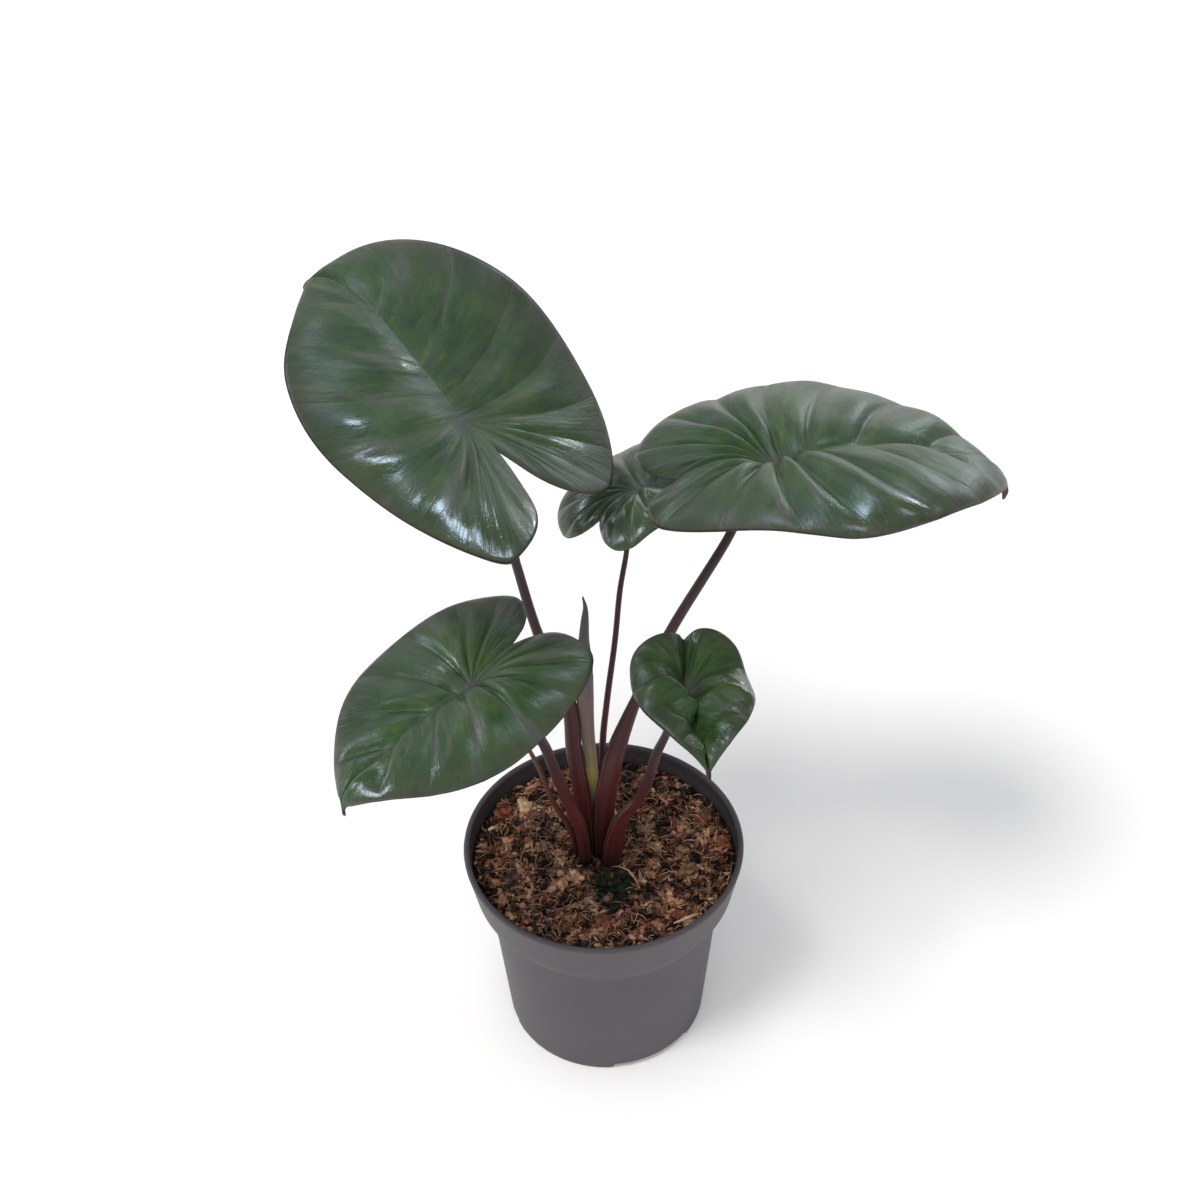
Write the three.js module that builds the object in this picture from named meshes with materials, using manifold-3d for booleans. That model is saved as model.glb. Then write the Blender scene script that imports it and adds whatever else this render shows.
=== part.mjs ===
// A young chocolate green alocasia in a round nursery pot: five heart-shaped blades, each on its own
// stalk, one rolled new leaf and one spent stalk, all growing from a buried corm in coarse coir soil.
// Millimetres, +Z up, the pot's base centre at the origin, the plant's best side toward -Y.
import * as THREE from 'three';
import { mergeGeometries, mergeVertices } from 'three/addons/utils/BufferGeometryUtils.js';
import Module from 'manifold-3d';

const wasm = await Module();
wasm.setup();

// Clearance kept between pieces that touch
const GAP = 0.3;

// Pot: a thin moulded cup with a flared collar, a rounded lip, a foot ring and a centre hub
const POT_HEIGHT = 101;
const RIM_RADIUS = 60;
const SHOULDER_Z = 72.6;
const COLLAR_BOTTOM_Z = 78;
const COLLAR_BOTTOM_RADIUS = 55.8;
const SHOULDER_SOFT = 3.4;
const SHOULDER_STEPS = 5;
const BODY_TOP_RADIUS = 50.6;
const BASE_RADIUS = 43.6;
const POT_WALL = 1.6;
const LIP_WIDTH = 2.5;
const FLOOR_RAISE = 3;
const FLOOR_TOP_Z = 5;
const HUB_RADIUS = 14;
const FOOT_RING_WIDTH = 5.4;
const NOTCH_COUNT = 3;
const NOTCH_WIDTH_DEG = 50;
const NOTCH_FIRST_DEG = -62;
const DRAIN_COUNT = 6;
const DRAIN_RADIUS = 3.5;
const DRAIN_CIRCLE_RADIUS = 26;
const ROUND_SIDES = 48;

// Soil: coarse coir and bark, a little below the rim, with a hollow in front of the crown
const SOIL_TOP_Z = 92.6;
const SOIL_RINGS = 11;
const SOIL_ROUGHNESS = 1.3;
const HOLLOW_AT = [6, -18];
const HOLLOW_RADIUS = 7;
const HOLLOW_DEPTH = 3;
const CHIP_COUNT = 30;
const CHIP_SIZE = [1.8, 3.6];
// Larger lumps at the places where they lie: x, y and radius
const LUMPS = [
  [-43, 25, 4.4], [-34, 29, 4.2], [-27, 5, 3.2], [-39, -13, 4.4], [-18, -17, 3], [-1, -38, 4], [22, -41, 3.8],
  [36, -10, 4.6], [45, 19, 4.2], [51, 6, 3], [-13, -29, 2.6],
];

// Corm: the short buried stem that every stalk stands on
const CORM_CENTRE = [-1.5, 0];
const CORM_RADIUS = 10.4;
const CORM_BOTTOM_Z = 70;
const CORM_TOP_Z = 93.4;

// Blades: the midrib leaves the stalk's top, "heading" is its compass turn from +X, "pitch" its rise.
// Lengths run from the stalk's top: to the tip, to the lobe ends and to the notch between the lobes.
// The droops bend the midrib, rise and falls bend each half, and the skews make the halves unlike.
// The fulls round the outline out, "sinus" opens the gap between the lobes, "drip" is the pointed tip.
// Quilts between the side veins, the pucker at the stalk, dip, wave, roll, curl and knee shape the surface,
// and "calmLobes" is the share of the quilting that is lost on the lobes.
const BLADES = {
  upper_left: {
    at: [-46, 15, 318], heading: 138, pitch: 29, roll: -24, length: 88, half: 67.5, widest: 6,
    lobe: 54, lobeX: 43, notch: 15, droop: -7, tipDroop: 84, tipFrom: 0.5, lobeDroop: -12, rise: 5,
    fallLeft: 46, fallRight: -16, twist: 19, halfSkew: 0.06, lobeSkew: -0.08, lobeXSkew: -0.22,
    shoulderFull: 0.55, lobeFull: 0.62, sinus: 0.45, tipFull: 0.53, tipEnd: 0.86, drip: 3,
    veins: 10, quilt: 1.5, pucker: 1.2, dip: 1.5, wave: 0.8, edgeRoll: 1.2,
    curlLeft: 1.5, curlRight: 0, knee: 0, calmLobes: 0.75,
  },
  upper_right: {
    at: [68, 20, 295], heading: 13, pitch: 1, roll: 15, length: 100, half: 67.5, widest: 12,
    lobe: 52.5, lobeX: 29, notch: 36, droop: 32, tipDroop: 15, tipFrom: 0.45, lobeDroop: 14, rise: 10,
    fallLeft: 13, fallRight: 30, twist: -2, halfSkew: -0.03, lobeSkew: 0.067, lobeXSkew: 0.03,
    shoulderFull: 0.32, lobeFull: 0.25, sinus: 0.12, tipFull: 0.5, tipEnd: 0.84, drip: 4,
    veins: 10, quilt: 3, pucker: 0.65, dip: 4.5, wave: 1.5, edgeRoll: 1.5,
    curlLeft: 0, curlRight: 0, knee: 0, calmLobes: 0,
  },
  back: {
    at: [16, 42, 263], heading: 32, pitch: 8, roll: 15, length: 62, half: 36, widest: 6,
    lobe: 31, lobeX: 18, notch: 21, droop: 21, tipDroop: 14, tipFrom: 0.45, lobeDroop: 48, rise: 7,
    fallLeft: 24, fallRight: 15, twist: 0, halfSkew: -0.05, lobeSkew: -0.12, lobeXSkew: 0,
    shoulderFull: 0.55, lobeFull: 0.62, sinus: 0.45, tipFull: 0.5, tipEnd: 0.84, drip: 3,
    veins: 8, quilt: 1.8, pucker: 0.65, dip: 1.5, wave: 0.9, edgeRoll: 0.8,
    curlLeft: 0, curlRight: 0, knee: 0, calmLobes: 0,
  },
  lower_left: {
    at: [-49, -45, 243], heading: 218, pitch: -15, roll: -22, length: 67, half: 46, widest: 9,
    lobe: 38, lobeX: 25, notch: 21, droop: 8, tipDroop: 20, tipFrom: 0.45, lobeDroop: 1, rise: 6,
    fallLeft: 45, fallRight: -21, twist: 1, halfSkew: -0.05, lobeSkew: 0.01, lobeXSkew: -0.2,
    shoulderFull: 0.55, lobeFull: 0.62, sinus: 0.45, tipFull: 0.5, tipEnd: 0.84, drip: 2.5,
    veins: 9, quilt: 1.7, pucker: 0.6, dip: 2.5, wave: 0.9, edgeRoll: 1,
    curlLeft: 1.5, curlRight: 0, knee: 0, calmLobes: 0.1,
  },
  lower_right: {
    at: [33, -35, 226], heading: -84, pitch: -1, roll: 18, length: 47.5, half: 27.7, widest: 7,
    lobe: 24, lobeX: 9, notch: 21, droop: -11, tipDroop: 11, tipFrom: 0.45, lobeDroop: -43, rise: 52,
    fallLeft: 20, fallRight: 29, twist: -14, halfSkew: 0.06, lobeSkew: -0.1, lobeXSkew: 0,
    shoulderFull: 0.55, lobeFull: 0.62, sinus: 0.45, tipFull: 0.5, tipEnd: 0.84, drip: 2,
    veins: 8, quilt: 1.3, pucker: 0.6, dip: 1.5, wave: 0.7, edgeRoll: 0.5,
    curlLeft: 0, curlRight: 0, knee: 3.4, calmLobes: 0,
  },
};
const ROWS_PER_VEIN = 4;
const BLADE_COLUMNS = 5;
const BLADE_THICK = 0.9;
const BLADE_EDGE_THICK = 0.7;
const RIB_DEPTH = 0.8;
const DIP_RADIUS = 13;
const QUILT_ROUNDING = 0.9;
const QUILT_UNEVENNESS = 0.25;
const CALM_FROM = 0.58;
const CALM_RAMP = 4;
const WAVE_OFFSET = 0.15;
const EDGE_WAVES = 4;
const LOBE_CURL_AT = 0.63;
const LOBE_CURL_SPREAD = 0.11;
const LOBE_CURL_FADE = 12;
const KNEE_AT = 0.36;
const KNEE_SLANT = 0.05;
const KNEE_SHARPNESS = 9;
const DRIP_SHARE = 0.03;
const BEND_STEPS = 20;
const SHOULDER = 16 / 38;
const LOBE_END = 28 / 38;
const RIB_SHARE = 0.5;
const RIB_CROWDING = 2.2;

// Stalks: points on the way up, each with the width across the view and the depth along it
const STALKS = {
  upper_left: [
    [-6.5, 2.6, 94.2, 6, 4.4], [-7.7, 2.8, 112.3, 7, 4.8], [-9, 4, 130.5, 7.2, 5],
    [-11.4, 6, 151.4, 6.8, 5], [-12.8, 8, 175.7, 6.4, 4.8], [-24.4, 11, 213.8, 4.2, 4],
    [-31.5, 13, 248.6, 3.8, 3.6], [-39.4, 15, 291, 3.4, 3.2],
  ],
  upper_right: [
    [-0.8, -0.4, 94.2, 6.6, 4.6], [0.4, -0.5, 115.3, 8.6, 5], [1.7, 1, 132.2, 8.8, 5.2],
    [4.7, 3, 148.1, 8.8, 5.2], [7.6, 5, 157.8, 7.6, 5], [14.6, 8, 177.7, 4.8, 4.2],
    [28.5, 13, 210.4, 4.4, 4], [50.5, 17, 254.5, 3.8, 3.6], [61.9, 20, 280, 3.4, 3.4],
  ],
  back: [
    [0.6, 7, 94.2, 3.4, 3.4], [0.5, 14, 145.3, 2.9, 2.9], [2.8, 20, 166.3, 2.7, 2.7],
    [6.6, 28, 192.8, 2.5, 2.5], [9, 34, 214.8, 2.4, 2.4], [11.7, 38, 230, 2.2, 2.2],
    [14.3, 41, 249, 2.1, 2.1],
  ],
  lower_left: [
    [-8, -4.4, 94.2, 5, 4.8], [-9.5, -9, 118.7, 5.4, 5], [-14.4, -13, 141.6, 5.2, 4.8],
    [-19.1, -18, 164.8, 4.8, 4.4], [-23.7, -24, 188.2, 4.2, 4], [-37.9, -38, 224.4, 3.6, 3.4],
  ],
  lower_right: [
    [3, -6.8, 94.2, 7, 3.8], [4.4, -8.6, 107.8, 8.4, 4], [7.3, -10.8, 126, 6.4, 4],
    [14.6, -14, 141.7, 4.8, 3.8], [18.6, -18, 157.7, 4.4, 3.8], [21.9, -22, 176.8, 4, 3.6],
    [25.1, -26, 190.4, 3.4, 3.3], [30.5, -33, 215.5, 3, 3],
  ],
};
const SPENT_STALK = [
  [-11.2, -1.2, 94.2, 2.4, 2.4], [-14, -5, 114.8, 2.4, 2.4], [-20.5, -10, 137.5, 2.2, 2.2],
  [-23.6, -14, 154.9, 2, 2], [-28, -22, 178.9, 1.8, 1.8], [-31, -25.5, 190, 1.4, 1.4],
];
const NEW_LEAF = [
  [-4.4, 7.6, 94.2, 4, 4], [-4, 8.6, 138.2, 4.6, 4.4], [-5.5, 9.2, 156.6, 5.8, 4.6],
  [-6.1, 8.4, 179.4, 7, 4.6], [-6, 7, 199.4, 7, 4.6], [-5.9, 6, 213.6, 4.4, 4],
  [-5.3, 6, 224.3, 3.2, 2.8], [-5, 6, 231, 1.8, 1.6], [-5.9, 6, 236.4, 0.7, 0.7],
];
const STALK_SIDES = 8;
const STALK_STEPS_PER_SPAN = 2;
const STALK_NECK = 7;

// Small helpers
const radians = THREE.MathUtils.degToRad;
const clamp = THREE.MathUtils.clamp;

function seededRandom(seed) {
  let state = seed;
  return () => {
    state = (state * 1664525 + 1013904223) % 4294967296;
    return state / 4294967296;
  };
}

// Bare, welded and outward-facing copy of a shape
function bare(geometry) {
  const plain = geometry.clone();
  plain.deleteAttribute('normal');
  plain.deleteAttribute('uv');
  const welded = mergeVertices(plain, 1e-4);
  const index = welded.index.array;
  const kept = [];
  for (let i = 0; i < index.length; i += 3) {
    const [a, b, c] = [index[i], index[i + 1], index[i + 2]];
    if (a !== b && b !== c && c !== a) {
      kept.push(a, b, c);
    }
  }
  if (signedVolume(welded, kept) < 0) {
    kept.reverse();
  }
  welded.setIndex(kept);
  return welded;
}

function signedVolume(geometry, index) {
  const place = geometry.attributes.position;
  const corner = [new THREE.Vector3(), new THREE.Vector3(), new THREE.Vector3()];
  let sum = 0;
  for (let i = 0; i < index.length; i += 3) {
    corner.forEach((point, k) => point.fromBufferAttribute(place, index[i + k]));
    sum += corner[0].dot(corner[1].clone().cross(corner[2]));
  }
  return sum;
}

function solid(geometry) {
  const shape = bare(geometry);
  return new wasm.Manifold(new wasm.Mesh({
    numProp: 3,
    vertProperties: new Float32Array(shape.attributes.position.array),
    triVerts: new Uint32Array(shape.index.array),
  }));
}

function geometryOf(manifold) {
  const mesh = manifold.getMesh();
  const geometry = new THREE.BufferGeometry();
  geometry.setAttribute('position', new THREE.BufferAttribute(new Float32Array(mesh.vertProperties), 3));
  geometry.setIndex(new THREE.BufferAttribute(new Uint32Array(mesh.triVerts), 1));
  return geometry;
}

function lathe(profile) {
  const points = profile.map(([r, z]) => new THREE.Vector2(r, z));
  return new THREE.LatheGeometry(points, ROUND_SIDES).rotateX(Math.PI / 2);
}

function post(radius, z0, z1, x, y, sides) {
  return new THREE.CylinderGeometry(radius, radius, z1 - z0, sides)
    .rotateX(Math.PI / 2)
    .translate(x, y, (z0 + z1) / 2);
}

// Pot
const INNER_SHOULDER_Z = SHOULDER_Z + 1;
const INNER_COLLAR_Z = COLLAR_BOTTOM_Z + POT_WALL;

function bodyRadius(z) {
  return BASE_RADIUS + (BODY_TOP_RADIUS - BASE_RADIUS) * z / COLLAR_BOTTOM_Z;
}

function collarRadius(z) {
  const up = (z - COLLAR_BOTTOM_Z) / (POT_HEIGHT - COLLAR_BOTTOM_Z);
  return COLLAR_BOTTOM_RADIUS + (RIM_RADIUS - COLLAR_BOTTOM_RADIUS) * up;
}

function potInnerRadius(z) {
  if (z > INNER_COLLAR_Z) {
    return collarRadius(z) - POT_WALL;
  }
  const up = clamp((z - INNER_SHOULDER_Z) / (INNER_COLLAR_Z - INNER_SHOULDER_Z), 0, 1);
  const below = bodyRadius(Math.min(z, INNER_SHOULDER_Z));
  return THREE.MathUtils.lerp(below, collarRadius(INNER_COLLAR_Z), up) - POT_WALL;
}

// The soft step from the body to the collar, as points of radius and height
function softShoulder() {
  const from = SHOULDER_Z - SHOULDER_SOFT;
  const rise = COLLAR_BOTTOM_Z + SHOULDER_SOFT - from;
  return Array.from({ length: SHOULDER_STEPS + 1 }, (_, k) => {
    const z = from + rise * k / SHOULDER_STEPS;
    const share = THREE.MathUtils.smoothstep(z, from, from + rise);
    return [THREE.MathUtils.lerp(bodyRadius(z), collarRadius(z), share), z];
  });
}

function potGeometry() {
  const lipZ = POT_HEIGHT - 1.4;
  const outer = [
    [0, 0], [HUB_RADIUS, 0], [HUB_RADIUS + 0.6, FLOOR_RAISE],
    [BASE_RADIUS - FOOT_RING_WIDTH - 0.6, FLOOR_RAISE], [BASE_RADIUS - FOOT_RING_WIDTH, 0],
    [BASE_RADIUS, 0], ...softShoulder(),
    [RIM_RADIUS, lipZ], [RIM_RADIUS - 0.3, POT_HEIGHT - 0.4], [RIM_RADIUS - 1, POT_HEIGHT],
    [RIM_RADIUS - LIP_WIDTH + 0.8, POT_HEIGHT], [RIM_RADIUS - LIP_WIDTH, POT_HEIGHT - 0.8],
    [RIM_RADIUS - LIP_WIDTH, lipZ - 1],
  ];
  const inner = [
    [potInnerRadius(lipZ - 2), lipZ - 2], [potInnerRadius(INNER_COLLAR_Z), INNER_COLLAR_Z],
    [potInnerRadius(INNER_SHOULDER_Z), INNER_SHOULDER_Z], [potInnerRadius(FLOOR_TOP_Z), FLOOR_TOP_Z],
    [0, FLOOR_TOP_Z],
  ];
  let pot = solid(lathe([...outer, ...inner]));
  for (let k = 0; k < NOTCH_COUNT; k += 1) {
    const from = radians(NOTCH_FIRST_DEG + 360 / NOTCH_COUNT * k - NOTCH_WIDTH_DEG / 2);
    const sector = new THREE.Shape();
    sector.absarc(0, 0, BASE_RADIUS + 4, from, from + radians(NOTCH_WIDTH_DEG), false);
    sector.absarc(0, 0, BASE_RADIUS - FOOT_RING_WIDTH - 1.2, from + radians(NOTCH_WIDTH_DEG), from, true);
    const wedge = new THREE.ExtrudeGeometry(sector, {
      depth: FLOOR_RAISE + 1,
      bevelEnabled: false,
      curveSegments: 8,
    });
    pot = pot.subtract(solid(wedge.translate(0, 0, -1)));
  }
  for (let k = 0; k < DRAIN_COUNT; k += 1) {
    const turn = 2 * Math.PI * k / DRAIN_COUNT;
    const [x, y] = [DRAIN_CIRCLE_RADIUS * Math.cos(turn), DRAIN_CIRCLE_RADIUS * Math.sin(turn)];
    pot = pot.subtract(solid(post(DRAIN_RADIUS, 0, FLOOR_TOP_Z + 5, x, y, 12)));
  }
  return geometryOf(pot);
}

// Height of the soil's top, a rolling surface with a hollow at the crown's front
function soilHeight(x, y) {
  const rolling = Math.sin(x * 0.31 + 1.7) * Math.cos(y * 0.27) + 0.6 * Math.sin(x * 0.71 - y * 0.53)
    + 0.5 * Math.cos(x * 0.19 + y * 0.83);
  const hollow = Math.hypot(x - HOLLOW_AT[0], y - HOLLOW_AT[1]) / HOLLOW_RADIUS;
  const byCorm = Math.exp(-((Math.hypot(x - CORM_CENTRE[0], y - CORM_CENTRE[1]) / 16) ** 4));
  return SOIL_TOP_Z + SOIL_ROUGHNESS * 0.45 * rolling * (1 - 0.7 * byCorm)
    - HOLLOW_DEPTH * Math.exp(-hollow * hollow) + 0.3 * byCorm;
}

function soilGeometry() {
  const edge = potInnerRadius(SOIL_TOP_Z - 1.5) - GAP;
  const profile = [
    [0, FLOOR_TOP_Z + GAP], [potInnerRadius(FLOOR_TOP_Z) - GAP, FLOOR_TOP_Z + GAP],
    [potInnerRadius(INNER_SHOULDER_Z) - GAP, INNER_SHOULDER_Z + GAP],
    [potInnerRadius(INNER_COLLAR_Z) - GAP, INNER_COLLAR_Z + GAP],
  ];
  for (let ring = 0; ring <= SOIL_RINGS; ring += 1) {
    profile.push([edge * (1 - ring / SOIL_RINGS), SOIL_TOP_Z]);
  }
  const base = lathe(profile);
  const place = base.attributes.position;
  for (let i = 0; i < place.count; i += 1) {
    if (place.getZ(i) > SOIL_TOP_Z - 0.1) {
      place.setZ(i, soilHeight(place.getX(i), place.getY(i)));
    }
  }
  let soil = solid(base);
  const random = seededRandom(41);
  const chips = LUMPS.map(([x, y, size]) => ({ x, y, size }));
  for (let k = 0; k < CHIP_COUNT; k += 1) {
    const size = CHIP_SIZE[0] + (CHIP_SIZE[1] - CHIP_SIZE[0]) * random() ** 2;
    const reach = 19 + (edge - size - 22) * Math.sqrt(random());
    const turn = 2 * Math.PI * random();
    chips.push({ x: reach * Math.cos(turn), y: reach * Math.sin(turn), size });
  }
  for (const { x, y, size } of chips) {
    const chip = new THREE.IcosahedronGeometry(size, 0)
      .scale(1, 0.55 + 0.35 * random(), 0.6)
      .rotateX(0.5 * (random() - 0.5))
      .rotateZ(2 * Math.PI * random())
      .translate(x, y, soilHeight(x, y) + size * 0.12);
    soil = soil.add(solid(chip));
  }
  const well = post(CORM_RADIUS + GAP, CORM_BOTTOM_Z - GAP, POT_HEIGHT, CORM_CENTRE[0], CORM_CENTRE[1], 24);
  return geometryOf(soil.subtract(solid(well)));
}

function cormGeometry() {
  const profile = [
    [0, CORM_BOTTOM_Z], [5, CORM_BOTTOM_Z + 1], [8.6, CORM_BOTTOM_Z + 6],
    [CORM_RADIUS - 0.5, CORM_BOTTOM_Z + 14], [CORM_RADIUS - 0.1, CORM_TOP_Z - 2],
    [CORM_RADIUS - 0.9, CORM_TOP_Z], [0, CORM_TOP_Z],
  ];
  const points = profile.map(([r, z]) => new THREE.Vector2(r, z));
  const knob = new THREE.LatheGeometry(points, 20).rotateX(Math.PI / 2);
  return bare(knob.translate(CORM_CENTRE[0], CORM_CENTRE[1], 0));
}

// Outline of one half of a blade in its own plane: tip, shoulder, lobe end, notch
function cubic(points, t) {
  const curve = new THREE.CubicBezierCurve(...points.map(([x, y]) => new THREE.Vector2(x, y)));
  return curve.getPoint(t);
}

function marginPoint(leaf, side, v) {
  const half = leaf.half * (1 + leaf.halfSkew * side);
  const lobe = leaf.lobe * (1 + leaf.lobeSkew * side);
  const lobeX = leaf.lobeX * (1 + leaf.lobeXSkew * side);
  const { length, widest, notch } = leaf;
  if (v < SHOULDER) {
    const [top, side0] = [[leaf.tipFull * half, leaf.tipEnd * length], [half, (widest + length) / 2]];
    const point = cubic([[0, length], top, side0, [half, widest]], v / SHOULDER);
    const drip = clamp(1 - v / DRIP_SHARE, 0, 1);
    return new THREE.Vector2(point.x * (1 - drip), point.y + leaf.drip * drip * drip);
  }
  if (v < LOBE_END) {
    const bend = [half, widest - leaf.shoulderFull * (widest + lobe)];
    const corner = [lobeX + leaf.lobeFull * (half - lobeX), -lobe];
    return cubic([[half, widest], bend, corner, [lobeX, -lobe]], (v - SHOULDER) / (LOBE_END - SHOULDER));
  }
  const gap = [leaf.sinus * lobeX, -lobe];
  const inner = [[lobeX, -lobe], gap, [0.06 * half, -notch - 0.45 * (lobe - notch)], [0, -notch]];
  return cubic(inner, (v - LOBE_END) / (1 - LOBE_END));
}

// A point of the flat half, v along the margin and t from the midrib out to the margin along a side vein
function flatPoint(leaf, side, v, t) {
  const margin = marginPoint(leaf, side, v);
  const rootY = leaf.length * clamp(1 - v / RIB_SHARE, 0, 1) ** RIB_CROWDING;
  const reach = new THREE.Vector2(margin.x, margin.y - rootY);
  const k = clamp((v - RIB_SHARE) / (1 - RIB_SHARE), 0, 1);
  const lean = clamp(1 - 3 * k, 0, 1);
  const hook = Math.sin(Math.PI * clamp((k - 0.45) / 0.55, 0, 1)) ** 2;
  const bendX = 0.5 * reach.x + lean * 0.1 * reach.x + hook * 0.16 * leaf.lobeX * (1 + leaf.lobeXSkew * side);
  const bendY = rootY + 0.5 * reach.y - lean * 0.12 * Math.abs(reach.x)
    - hook * 0.05 * leaf.lobe * (1 + leaf.lobeSkew * side);
  const s = 1 - t;
  return [2 * s * t * bendX + t * t * margin.x, s * s * rootY + 2 * s * t * bendY + t * t * margin.y];
}

// Run and rise after a length of a strip whose slope at each length is given
function bent(slopeAt, length) {
  let [run, rise] = [0, 0];
  for (let k = 0; k < BEND_STEPS; k += 1) {
    const slope = slopeAt(length * (k + 0.5) / BEND_STEPS);
    run += Math.cos(slope) * length / BEND_STEPS;
    rise += Math.sin(slope) * length / BEND_STEPS;
  }
  return [run, rise];
}

function leafAxes(leaf) {
  const [turn, pitch, roll] = [radians(leaf.heading), radians(leaf.pitch), radians(leaf.roll)];
  const forward = new THREE.Vector3(Math.cos(turn), Math.sin(turn), 0)
    .multiplyScalar(Math.cos(pitch))
    .setZ(Math.sin(pitch));
  const level = new THREE.Vector3(Math.sin(turn), -Math.cos(turn), 0);
  const above = level.clone().cross(forward);
  const right = level.multiplyScalar(Math.cos(roll)).addScaledVector(above, Math.sin(roll));
  return { right, forward, up: right.clone().cross(forward) };
}

// Side veins and midrib lie in channels with puffed quilts between, and the margin is softly waved
function relief(leaf, side, v, t, x, y) {
  const ripple = Math.abs(Math.sin(Math.PI * leaf.veins * v)) ** QUILT_ROUNDING;
  const uneven = 1 + QUILT_UNEVENNESS * Math.sin(leaf.veins * v * 1.7 + t * 3 + side * 2 + leaf.half);
  const across = Math.max(Math.sin(Math.PI * t ** leaf.pucker), 0) ** leaf.pucker;
  const calm = 1 - leaf.calmLobes * clamp((v - CALM_FROM) * CALM_RAMP, 0, 1);
  const rib = -RIB_DEPTH * clamp(1 - t * BLADE_COLUMNS, 0, 1);
  const waveTurn = 2 * Math.PI * (EDGE_WAVES * v + WAVE_OFFSET * side);
  const wave = leaf.wave * Math.sin(waveTurn) * Math.sin(Math.PI * v) * t ** 3;
  const dip = -leaf.dip * Math.exp(-((Math.hypot(x, y) / DIP_RADIUS) ** 2));
  const pastKnee = (y / leaf.length - KNEE_AT - KNEE_SLANT * Math.sin(x * 0.3)) * KNEE_SHARPNESS;
  const bump = Math.exp(-(((pastKnee + 0.7) / 1.1) ** 2)) - 0.6 * Math.exp(-((pastKnee - 0.5) ** 2));
  const curl = side > 0 ? leaf.curlRight : leaf.curlLeft;
  const nearLobeEnd = Math.exp(-(((v - LOBE_CURL_AT) / LOBE_CURL_SPREAD) ** 2));
  const lobeCurl = curl * nearLobeEnd * t ** 4 * clamp(LOBE_CURL_FADE * (1 - v), 0, 1);
  const hook = leaf.drip * clamp(1 - v / DRIP_SHARE, 0, 1) ** 2 * t * t;
  return leaf.quilt * calm * ripple * uneven * across + rib + wave + dip + leaf.knee * bump * (1 - t ** 3)
    - leaf.edgeRoll * t ** 12 - lobeCurl - hook;
}

function midSlope(leaf, s) {
  if (s < 0) {
    return radians(leaf.lobeDroop * -s / leaf.lobe);
  }
  const share = s / leaf.length;
  const late = clamp((share - leaf.tipFrom) / (1 - leaf.tipFrom), 0, 1);
  return -radians(leaf.droop * share + leaf.tipDroop * late * late);
}

function bladePoint(leaf, axes, side, v, t) {
  const [x, y] = flatPoint(leaf, side, v, t);
  const fall = side > 0 ? leaf.fallRight : leaf.fallLeft;
  const sideSlope = (s) => radians(leaf.rise - (fall + leaf.rise) * Math.max(s / leaf.half, 0) ** 1.3);
  const [along, height] = bent((s) => midSlope(leaf, s), y);
  const [across, lift] = bent(sideSlope, x);
  const twist = radians(leaf.twist) * clamp(y / leaf.length, -1, 1);
  const slope = midSlope(leaf, y);
  const local = (sideways, upward) => {
    const over = side * sideways * Math.sin(twist) + upward * Math.cos(twist);
    return new THREE.Vector3()
      .addScaledVector(axes.right, side * sideways * Math.cos(twist) - upward * Math.sin(twist))
      .addScaledVector(axes.forward, -Math.sin(slope) * over)
      .addScaledVector(axes.up, Math.cos(slope) * over);
  };
  const point = new THREE.Vector3(...leaf.at)
    .addScaledVector(axes.forward, along)
    .addScaledVector(axes.up, height)
    .add(local(across, lift));
  const tilt = sideSlope(x) * clamp(x / 3, 0, 1);
  const outward = local(-Math.sin(tilt), Math.cos(tilt)).normalize();
  point.addScaledVector(outward, relief(leaf, side, v, t, x, y));
  return { point, outward };
}

// Closed blade: an upper sheet, a lower sheet a thickness below it, and a strip round the margin
function bladeGeometry(leaf) {
  const axes = leafAxes(leaf);
  const rows = 2 * ROWS_PER_VEIN * leaf.veins;
  const moved = (geometry, depthOf, edgeOnly) => {
    const place = geometry.attributes.position;
    for (let i = 0; i < place.count; i += 1) {
      const round = geometry.attributes.uv.getX(i);
      const across = geometry.attributes.uv.getY(i);
      const side = round < 0.5 ? 1 : -1;
      const t = edgeOnly ? 1 : across;
      const v = Math.round(Math.abs(1 - 2 * round) * rows / 2) / (rows / 2);
      const { point, outward } = bladePoint(leaf, axes, side, v, t);
      const thick = BLADE_THICK + (BLADE_EDGE_THICK - BLADE_THICK) * t;
      point.addScaledVector(outward, -thick * depthOf(across));
      place.setXYZ(i, point.x, point.y, point.z);
    }
    return geometry;
  };
  const upper = moved(new THREE.PlaneGeometry(1, 1, rows, BLADE_COLUMNS), () => 0, false);
  const lower = moved(new THREE.PlaneGeometry(1, 1, rows, BLADE_COLUMNS), () => 1, false);
  lower.index.array.reverse();
  const rim = moved(new THREE.PlaneGeometry(1, 1, rows, 1), (across) => across, true);
  return bare(mergeGeometries([upper, lower, rim]));
}

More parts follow.
